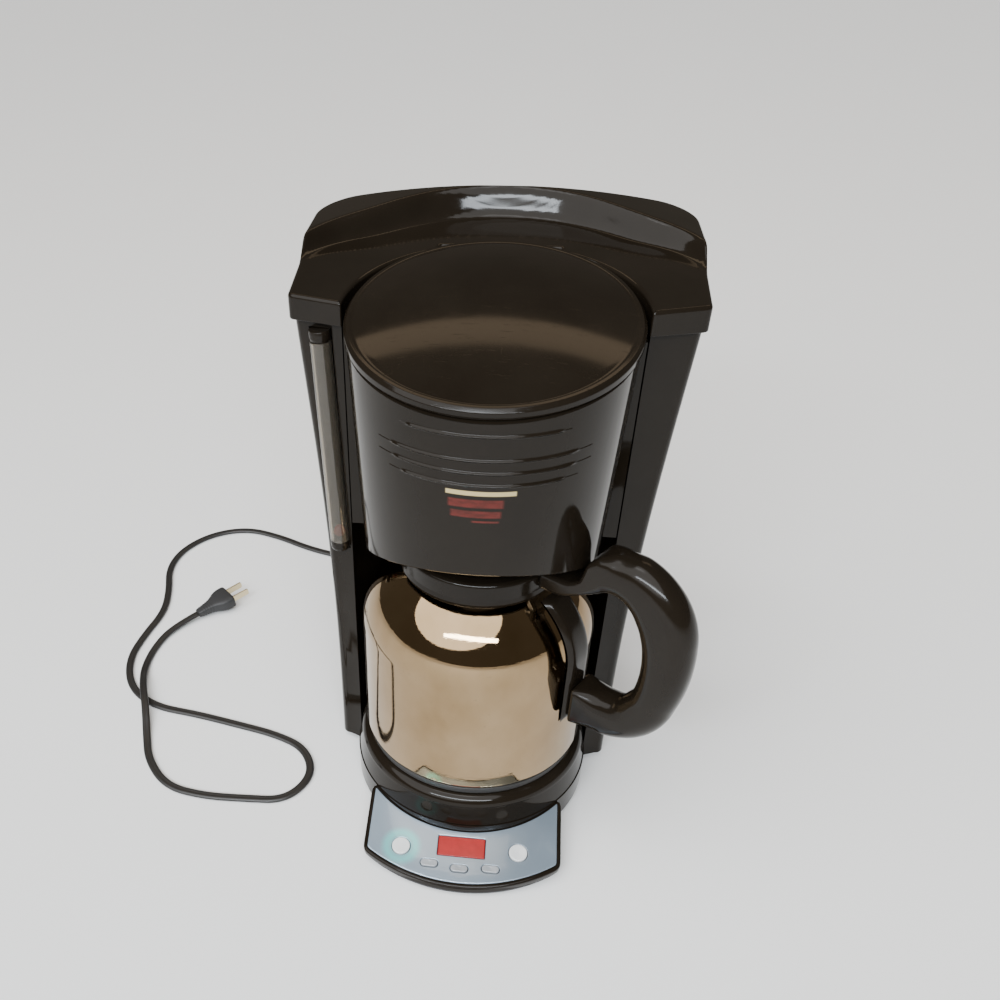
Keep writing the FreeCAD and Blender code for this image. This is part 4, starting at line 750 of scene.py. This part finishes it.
# %% The collar, the stopper and the base ring
collar = softened([(50.2, 196.7, 0.3), (52.5, 194.9, 0.5), (53.2, 197.5, 0.8), (52.6, 200.5, 0.8),
                   (52.5, 212.5, 3.0), (44.5, 212.5, 0.8), (42.5, 211.6, 0.5), (42.5, 207.2, 0.3),
                   (50.2, 207.2, 0.2)], True)
piece("neck_collar", *lathe(collar), black_handle, "carafe", "black_gloss", ["carafe_collar"])
stopper = softened([(0, 212.5, 0), (5, 212.5, 0.5), (12, 213.4, 2), (16, 216.3, 3), (30, 216.5, 8),
                    (40, 215.9, 2.0), (41.9, 213.6, 1.4), (41.9, 207.6, 0.6), (38.8, 207.5, 0.3),
                    (38.8, 191.2, 1.2), (0, 191, 0)])
piece("stopper", *lathe(stopper), black_handle, "carafe_stopper", "black_gloss", ["carafe_lid"])
ring = softened([(67.2, 48.4, 0.5), (77, 48.4, 1.6), (77, 53.9, 0.8), (67.2, 53.9, 0.3)], True)
piece("base_ring", *lathe(ring), black_satin, "carafe", "black_satin", ["carafe_base_ring"])

# %% [markdown]
# ## The handle
# It leaves the collar, arches over and comes back to the strip down the carafe's side. Its
# outline is blurred along itself until it flows, and its edge is rounder where the hand goes.

# %% The handle
HANDLE_TURN, HALF_WIDTH = -33, 12.4
outer_curve = bow((108, 104.2), (148.6, 147), 52, 24)
back_curve = bow((148.6, 147), (152.6, 198), 130, 16)[1:]
top_curve = bow((152.6, 198), (112, 245.0), 52, 24)[1:]
hand_side = bow((123, 180), (121, 150), -90, 8)
grip_loop = np.vstack([
    [(51.2, 202.5), (68, 203.4), (84, 212.0), (97, 217.5), (106, 215.5), (112, 210), (118, 200),
     (121.5, 190)],
    hand_side, [(113, 137.5), (83.2, 134.2), (83.2, 105.0)], outer_curve, back_curve, top_curve,
    [(97, 244.6), (88, 241.0), (81.8, 233.5), (80.2, 226), (78, 219.5), (71, 215.8), (51.2, 215.8)]])
grip_loop = relaxed(grip_loop, 1.2, 2.0)
soft = np.clip((grip_loop[:, 0] - 80) / 24, 0, 1)
edges = 3.0 + 8.6 * soft * soft * (3 - 2 * soft)
points, faces = slab([grip_loop], [edges], level(-HALF_WIDTH), level(HALF_WIDTH), steps=9)
upright = np.eye(4)
upright[:3, :3] = np.column_stack([(1, 0, 0), (0, 0, 1), (0, -1, 0)])
handle_way = matrix((0, 0, 0), "Z", HANDLE_TURN)
piece("grip_handle", placed(points, handle_way @ upright), faces, black_handle, "carafe",
      "black_gloss", ["carafe_handle"])

# %% [markdown]
# The handle is screwed to a strip that follows the shell from its side up over its shoulder.
# The strip is a bar carried along the shell's own profile, thicker in its middle and closed
# at both ends, so it fits the steel with no gap.

# %% The strip down the carafe's side
STRIP_LOW, STRIP_END, STRIP_HALF = 101.0, 0.80, 11.0
arc = np.linspace(0, STRIP_END, 24)
straight = np.linspace(STRIP_LOW, SHOULDER, 14)[:-1]
rise = np.concatenate([straight, SHOULDER + DOME * np.sin(arc)])[:, None]
out = np.concatenate([np.full(len(straight), SIDE), SIDE * np.cos(arc)])[:, None]
away = unit(np.hstack([out, np.maximum(rise - SHOULDER, 0) * 1.25]))
across = np.linspace(-STRIP_HALF, STRIP_HALF, 17)
fullness = 0.25 + 3.6 * (1 - np.abs(across / STRIP_HALF) ** 6)
row = np.arange(len(rise))
thickness = fullness * np.clip(np.minimum(row, row[::-1]) / 1.5, 0.05, 1)[:, None]


def strip_face(lift):
    """The shell's profile moved outwards by the lift, at each step across."""
    return np.stack([out + away[:, :1] * lift, across + 0 * lift, rise + away[:, 1:] * lift], -1)


strip = np.concatenate([strip_face(thickness), strip_face(0.12 + 0 * thickness)[:, ::-1]], 1)
rows, columns = strip.shape[:2]
strip_ends = [list(range(columns)), list(range((rows - 1) * columns, rows * columns))]
piece("side_strip", placed(strip, handle_way), quads(rows, columns) + strip_ends, black_handle,
      "carafe", "black_gloss", ["handle_spine"])

# %% [markdown]
# ## The lid
# A shallow dome inside a raised bright rim, tilted back by ten degrees. A thin skin over the
# moulded lid gives it the rounds that catch the light.

# %% The lid's skin
lid_way = matrix((0, -2, 354.7), "X", 10)
crown = np.linspace(0, 76.2, 34)
bulge = np.stack([crown, 14.35 - 8.9 * (crown / 79.6) ** 2], 1)
rim = softened([(77.2, 5.75, 0.6), (78.6, 6.0, 0.9), (80.6, 5.9, 1.0), (82.5, 3.9, 1.3),
                (82.5, -0.2, 0.7), (79.4, -0.2, 0.4), (79.4, 1.6, 0.5), (75, 2.6, 1)])
under = np.stack([crown[::-1] * 0.975, 12.0 - 8.9 * (crown[::-1] / 79.6) ** 2], 1)
piece("lid_skin", *lathe(np.vstack([bulge, rim, under]), lid_way, 192), black_lid, "lid",
      "black_gloss")

# %% [markdown]
# ## The brew column
# A drum that widens upwards, cut off at a slant below, with four fine raised lines across its
# front. The lines are bells of height added to the radius, and fade out at their ends.

# %% The column's skin
COLUMN_Y, FOOT_SLOPE, TOP_SLOPE, TOP_MIDDLE = -5, 0.4663, 0.1763, 353.37
column_turn = np.linspace(-math.radians(97), math.radians(97), 241)
marks = [(332.0, 41.0), (317.6, 50.0), (310.0, 49.0), (302.4, 44.0)]
heights = np.unique(np.concatenate([np.linspace(214, 352, 60), np.linspace(336, 372, 40)]
                                   + [h + np.linspace(-2.4, 2.4, 25) for h, _ in marks]))


def column_radius(height):
    """74 mm at its foot, widening evenly to 80.5 mm at the tower's top."""
    return 74.0 + 6.5 * (height - 214.0) / 134.0


def bells(radius, height, turned):
    """Each raised line is exp(-(distance / 0.75)^2), times a window along its chord."""
    chord = radius * np.sin(np.clip(turned, -1.5, 1.5))
    return sum(1.15 * np.exp(-((height - middle) / 0.75) ** 2)
               * np.clip((half - np.abs(chord)) / 4.0, 0, 1) for middle, half in marks)


def column_row(height, out, lift=0.0, lines=False):
    """Points round the column at a height, which is held between its slanting foot and its
    slanting top, then moved outwards and lifted."""
    y = COLUMN_Y - column_radius(height) * np.cos(column_turn)
    foot = np.maximum(214.0, 243.0 - FOOT_SLOPE * (y + 80.2)) - 0.25
    top = TOP_MIDDLE + TOP_SLOPE * (y - COLUMN_Y) + 0.2
    held = np.clip(height, foot, top)
    radius = column_radius(held) + out
    if lines:
        radius = radius + bells(radius, held, column_turn)
    y = COLUMN_Y - radius * np.cos(column_turn)
    return np.stack([radius * np.sin(column_turn), y, held + lift], -1)


PROUD, LIP = 0.3, 1.75
wraps = [share * math.pi for share in (0.25, 0.5, 0.75, 1.0)]
height_grid = np.repeat(heights[:, None], len(column_turn), 1)
outer = column_row(height_grid, PROUD, lines=True)
low_lip = [column_row(height_grid[:1], PROUD - LIP * (1 - math.cos(angle)), -1.2 * math.sin(angle))
           for angle in wraps]
top_lip = [column_row(height_grid[-1:], PROUD - LIP * (1 - math.cos(angle)), 0.25 * math.sin(angle))
           for angle in wraps]
wall = np.concatenate(low_lip[::-1] + [outer] + top_lip)
wall_faces = quads(*wall.shape[:2], wrap_rows=True, wrap_columns=False)
first_of_row = np.arange(len(wall)) * len(column_turn)
wall_faces += [first_of_row.tolist(), (first_of_row + len(column_turn) - 1).tolist()]
piece("column_skin", wall.reshape(-1, 3), wall_faces, black_column, "base", "black_gloss")

# %% [markdown]
# ## The cap
# Its deck slopes up to the back, where a shelf rises in three sweeping hollows round the lid.
# The shelf's height is a smooth step of the distance to those hollows' circles.

# %% The cap
hollows = [(0.0, 17.0, 106.0), (73.0, 41.1, 46.0), (-73.0, 41.1, 46.0)]


def past_hollows(plan):
    """Smoothed least distance outside the circles, each carried straight on to the front:
    -k log(sum of exp(-distance / k))."""
    away = [np.hypot(plan[:, 0] - x, np.maximum(plan[:, 1] - y, 0)) - r for x, y, r in hollows]
    return -5.0 * np.log(sum(np.exp(-a / 5.0) for a in away))


def cap_height(plan):
    """From the deck to the crown by a smooth step, twelve millimetres wide."""
    deck = 363.5 + 0.07 * (plan[:, 1] + 10)
    top = 390.0 - 12.0 * (plan[:, 0] / 119) ** 2
    step = np.clip((past_hollows(plan) + 1.0) / 12.0, 0, 1)
    return deck + (top - deck) * step ** 3 * (step * (6 * step - 15) + 10)


def cap_outline():
    """Round corners at the back, small ones at the two noses, and the bite that the lid sits
    in, which is a little deeper beside the hinge so that the open lid's rim has room."""
    angle = np.linspace(math.pi - 0.0235, 0.0235, 161)
    bite = np.stack([85 * np.cos(angle), 85 * np.sin(angle) - 2], 1)
    beside_hinge = (np.abs(bite[:, 0]) < 36.6) & (bite[:, 1] > 0)
    bite[beside_hinge, 1] = np.maximum(bite[beside_hinge, 1], 80.7)
    right = [(84.98, 0, 0), (117.4, 9, 4), (119, 60, 0), (119, 134, 26)]
    left = [(-x, y, radius) for x, y, radius in right[::-1]]
    return np.vstack([softened(right + [(0, 134, 0)] + left, steps=12)[1:-1], bite])


outline = cap_outline()
print("the cap's outline has", len(outline), "points")
cap_grid = spread(np.arange(-118, 119, 1.7), np.arange(1, 134, 1.7))
cap_grid = cap_grid[inside(cap_grid, [outline + inward(outline) * 2.6])]
outline = relaxed(outline, 1.3, 0.7)
points, faces = slab([outline], 2.2, level(350), cap_height, cap_grid, steps=7, low_edge=0.7)
piece("cap_shell", points, faces, black_shell, "base", "black_gloss", ["top_cap"])

# %% The post of the lid's hinge
post = np.array([(70.9, 351), (84.5, 351), (84.5, 355), (76.1, 355), (76.1, 368.8), (70.9, 368.8)])
points, faces = slab([post], 0.4, level(-8), level(8), steps=3)
piece("hinge_post", points[:, [2, 0, 1]], faces, black_shell, "base", "black_gloss")

# %% [markdown]
# ## The platform, the mat and the base
# The carafe stands on a puck with a large round edge; a thin mat keeps the steel off it.

# %% The platform and the mat
puck = softened([(0, 47.0, 0), (60.2, 47.0, 0.2), (60.2, 48.1, 0.5), (83.0, 48.1, 8.0), (83.1, 40, 1),
                 (85.4, 24.2, 0.6), (0, 24.2, 0)], steps=12)
piece("puck", *lathe(puck, sides=192), black_shell, "base", "black_gloss", ["platform"])
mat = softened([(0, 48.0, 0), (60.0, 48.0, 0.4), (60.0, 47.1, 0.2), (0, 47.1, 0)])
piece("warming_mat", *lathe(mat), black_satin, "base", "black_satin", ["platform_mat"])

# %% [markdown]
# ## The control panel
# A lacquered plate that slopes towards the front, with openings for a red display, three
# small buttons in a row and a round button on each side.

# %% The panel
tip = matrix((0, -61, 22.4), "X", 9.9)
nose = bow((-66.0, -44.0), (66.0, -44.0), 116.0, 61)
rear = bow((66.0, 4.4), (-66.0, 4.4), -87.2, 61)
plate = relaxed(np.vstack([nose, rear]), 1.0, 1.2)


def pill(x, y, length, width, steps=12):
    """An oval with round ends, or a circle where length equals width."""
    half = (length - width) / 2
    angle = np.linspace(-math.pi / 2, math.pi / 2, steps)
    end = np.stack([half + width / 2 * np.cos(angle), width / 2 * np.sin(angle)], 1)
    return np.vstack([end, -end]) + (x, y)


button_places = {"hour_button": (-21.5, -52.0, 12.0, 5.4), "minute_button": (-0.5, -54.1, 12.0, 5.4),
                 "program_button": (21.0, -52.4, 12.0, 5.4), "auto_button": (-42.3, -41.1, 12.8, 12.8),
                 "brew_button": (39.4, -38.3, 12.8, 12.8)}


def display_outline(half_width, half_depth, corner):
    """A rectangle with round corners about the middle of the display."""
    corners = [(-half_width, -37.6 - half_depth, corner), (half_width, -37.6 - half_depth, corner),
               (half_width, -37.6 + half_depth, corner), (-half_width, -37.6 + half_depth, corner)]
    return softened(corners, True, 5)


gaps = [pill(x, y, length + 0.7, width + 0.7) for x, y, length, width in button_places.values()]
holes = [gap[::-1] for gap in [display_outline(16.7, 7.7, 0.8)] + gaps]
points, faces = slab([plate] + holes, 0.6, level(-2.5), level(0.0), steps=4)
piece("panel_plate", placed(points, tip), faces, panel_silver, "base", "silver_panel",
      ["control_panel"])

# %% [markdown]
# The plate lies in a black tray whose lip stands a little proud of it at the sides and the
# nose. It is the same outline grown outwards, so the lip is even all the way round.

# %% The tray under the plate
lip = relaxed(plate - inward(plate) * 3.0, 1.2, 1.5)
points, faces = slab([lip], 1.6, level(-7.6), level(-0.9), steps=5)
piece("panel_tray", placed(points, tip), faces, black_shell, "base", "black_gloss")

# %% [markdown]
# The display is a thin pane in its window. Each button is its own piece on its own body, so
# it can be pressed, and its top is dished for a fingertip.

# %% The display and the buttons
pane = display_outline(16.4, 7.4, 0.6)
points, faces = slab([pane], 0.35, level(-1.6), level(-0.15), steps=4)
piece("display_pane", placed(points, tip), faces, display_red, "base", "display_red",
      ["display_window"])


def dished(x, y, reach):
    """1.15 mm proud, less a bell 0.35 mm deep about the button's middle."""
    return lambda plan: 1.15 - 0.35 * np.exp(-((plan - (x, y)) ** 2).sum(1) / (reach * reach * 0.5))


button_steps = np.arange(-7, 7.1, 0.9)
for name, (x, y, length, width) in button_places.items():
    shape = pill(x, y, length, width)
    grid = spread(button_steps, button_steps) + (x, y)
    grid = grid[inside(grid, [shape + inward(shape)])]
    points, faces = slab([shape], 0.7, level(-3.4), dished(x, y, width / 2), grid, steps=5)
    finish = button_silver if length == width else button_dark
    piece(name + "_cap", placed(points, tip), faces, finish, name, "silver_panel", [name])

# %% [markdown]
# ## The sight tube
# A clear tube on the left pillar shows the water, with a red float in it and a dark collar at
# each end.

# %% The sight tube
TUBE_LEAN = -1.92
tube_way = matrix((-95, 9, 198), "Y", TUBE_LEAN)
glass = softened([(4.7, 0, 0.2), (6.5, 0, 0.3), (6.5, 140, 0.3), (4.7, 140, 0.2)], True, 4)
piece("sight_glass", *lathe(glass, tube_way, 64), smoked, "base", "smoked_clear", ["gauge_tube"])
ends = []
for low in (-7.0, 140.1):
    band = softened([(0, low, 0), (5.9, low, 1.2), (6.6, low + 2.4, 0.8), (6.6, low + 5.0, 0.8),
                     (6.3, low + 6.9, 0.5), (0, low + 6.9, 0)])
    ends.append(lathe(band, tube_way, 64))
count = len(ends[0][0])
piece("tube_ends", np.vstack([points for points, _ in ends]),
      ends[0][1] + (np.array(ends[1][1]) + count).tolist(), black_handle, "base", "black_satin",
      ["gauge_fittings"])
swing = np.linspace(-math.pi / 2, math.pi / 2, 25)
ball = np.stack([3.95 * np.cos(swing) ** 0.8, 3.95 * np.sin(swing)], 1)
ball[[0, -1], 0] = 0.0
piece("red_float", *lathe(ball, matrix((-95.2, 9, 205), "Y", TUBE_LEAN), 48), float_red, "gauge_float",
      "float_red", ["gauge_float"])

# %% [markdown]
# ## Pieces that keep their CAD shape
# The tower, the base and everything inside are right as they are. Their loose triangles are
# merged and split at sharp edges by modifiers, which leaves the mesh itself alone.

# %% CAD nodes and their finishes
kept = {
    "black_shell": ["tower_housing", "base_shell", "brew_housing"],
    "black_lid": ["brew_lid"],
    "black_satin": ["filter_basket", "base_cover"],
    "rubber": ["feet", "wire_loom"],
    "grey_plastic": ["spray_head", "spray_inlet", "check_valve", "fill_chute", "drip_valve",
                     "display_module"],
    "silicone_tube": ["riser_tube", "inlet_hose", "lid_gasket"],
    "plain_steel": ["lid_hinge_pin", "valve_spring", "base_screws", "thermostat", "carafe_liner"],
    "cast_aluminium": ["heater_casting"],
    "gold_mesh": ["permanent_filter"],
    "ceramic": ["thermal_fuse", "terminal_block"],
    "tank_clear": ["water_tank"],
    "green_board": ["control_board"]}
for finish_name, names in kept.items():
    for name in names:
        node = nodes[name]
        material = bpy.data.materials[finish_name]
        if node.material_slots:
            node.material_slots[0].material = material
        else:
            node.data.materials.append(material)
        node.data.polygons.foreach_set("use_smooth", np.ones(len(node.data.polygons), bool))
        merge = node.modifiers.new("merge", "WELD")
        merge.merge_threshold = 1e-6
        split = node.modifiers.new("split", "EDGE_SPLIT")
        split.split_angle = math.radians(25)
print(sum(map(len, kept.values())), "CAD nodes keep their shape")

# %% [markdown]
# ## The table and the light
# The table is pale and wide enough to fill the view.

# %% The table
TABLE_REACH = 14
table = Finish("table", (0.86, 0.86, 0.85), specular_ior_level=0.3)
table.feed("Roughness", 0.55 + table.noise(6.0, 3.0, 0.5) * 0.1)
floor_mesh = bpy.data.meshes.new("table")
corners = [(-1, -1), (1, -1), (1, 1), (-1, 1)]
floor_mesh.from_pydata([(x * TABLE_REACH, y * TABLE_REACH, 0) for x, y in corners], [], [(0, 1, 2, 3)])
floor = bpy.data.objects.new("table", floor_mesh)
bpy.context.scene.collection.objects.link(floor)
floor.data.materials.append(table.material)
floor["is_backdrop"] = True

# %% [markdown]
# The black shell is shaped by what it mirrors, so the lights are large and plain: a long cool
# window in front, a small panel overhead, a warm glow behind, and a sun so broad that its
# shadows are soft. A dim warm room fills in the rest.

# %% The lights


def soft_light(name, place, target, width, height, power, colour=(1, 1, 1)):
    """A rectangular panel of light that faces its target."""
    data = bpy.data.lights.new(name, "AREA")
    data.shape = "RECTANGLE"
    data.size = width
    data.size_y = height
    data.energy = power
    data.color = colour
    made = bpy.data.objects.new(name, data)
    bpy.context.scene.collection.objects.link(made)
    made.location = place
    made.rotation_euler = (Vector(target) - Vector(place)).to_track_quat("-Z", "Y").to_euler()


soft_light("overhead", (-0.15, -0.3, 1.8), (0, 0, 0.2), 0.7, 0.3, 2.5)
soft_light("front_window", (-0.15, -1.7, 1.5), (0, 0, 0.2), 1.9, 0.2, 52, (0.86, 0.93, 1.0))
soft_light("back_glow", (0.0, 1.6, 2.4), (0, 0, 0.35), 3.0, 0.4, 9.0, (1.0, 0.74, 0.48))
sun = bpy.data.lights.new("daylight", "SUN")
sun.energy = 4.2
sun.angle = math.radians(75)
daylight = bpy.data.objects.new("daylight", sun)
bpy.context.scene.collection.objects.link(daylight)
daylight.rotation_euler = Vector((0.45, 0.75, -1.3)).to_track_quat("-Z", "Y").to_euler()
world = bpy.data.worlds.new("room")
bpy.context.scene.world = world
world.use_nodes = True
world.node_tree.nodes["Background"].inputs["Color"].default_value = (0.92, 0.84, 0.72, 1.0)
world.node_tree.nodes["Background"].inputs["Strength"].default_value = 0.14
print(len(bpy.data.lights), "lights")

# %% [markdown]
# The box round the visible pieces is printed.

# %% The sizes, and the end
low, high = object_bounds()
print("visual box", [round(v, 4) for v in (*low, *high)])
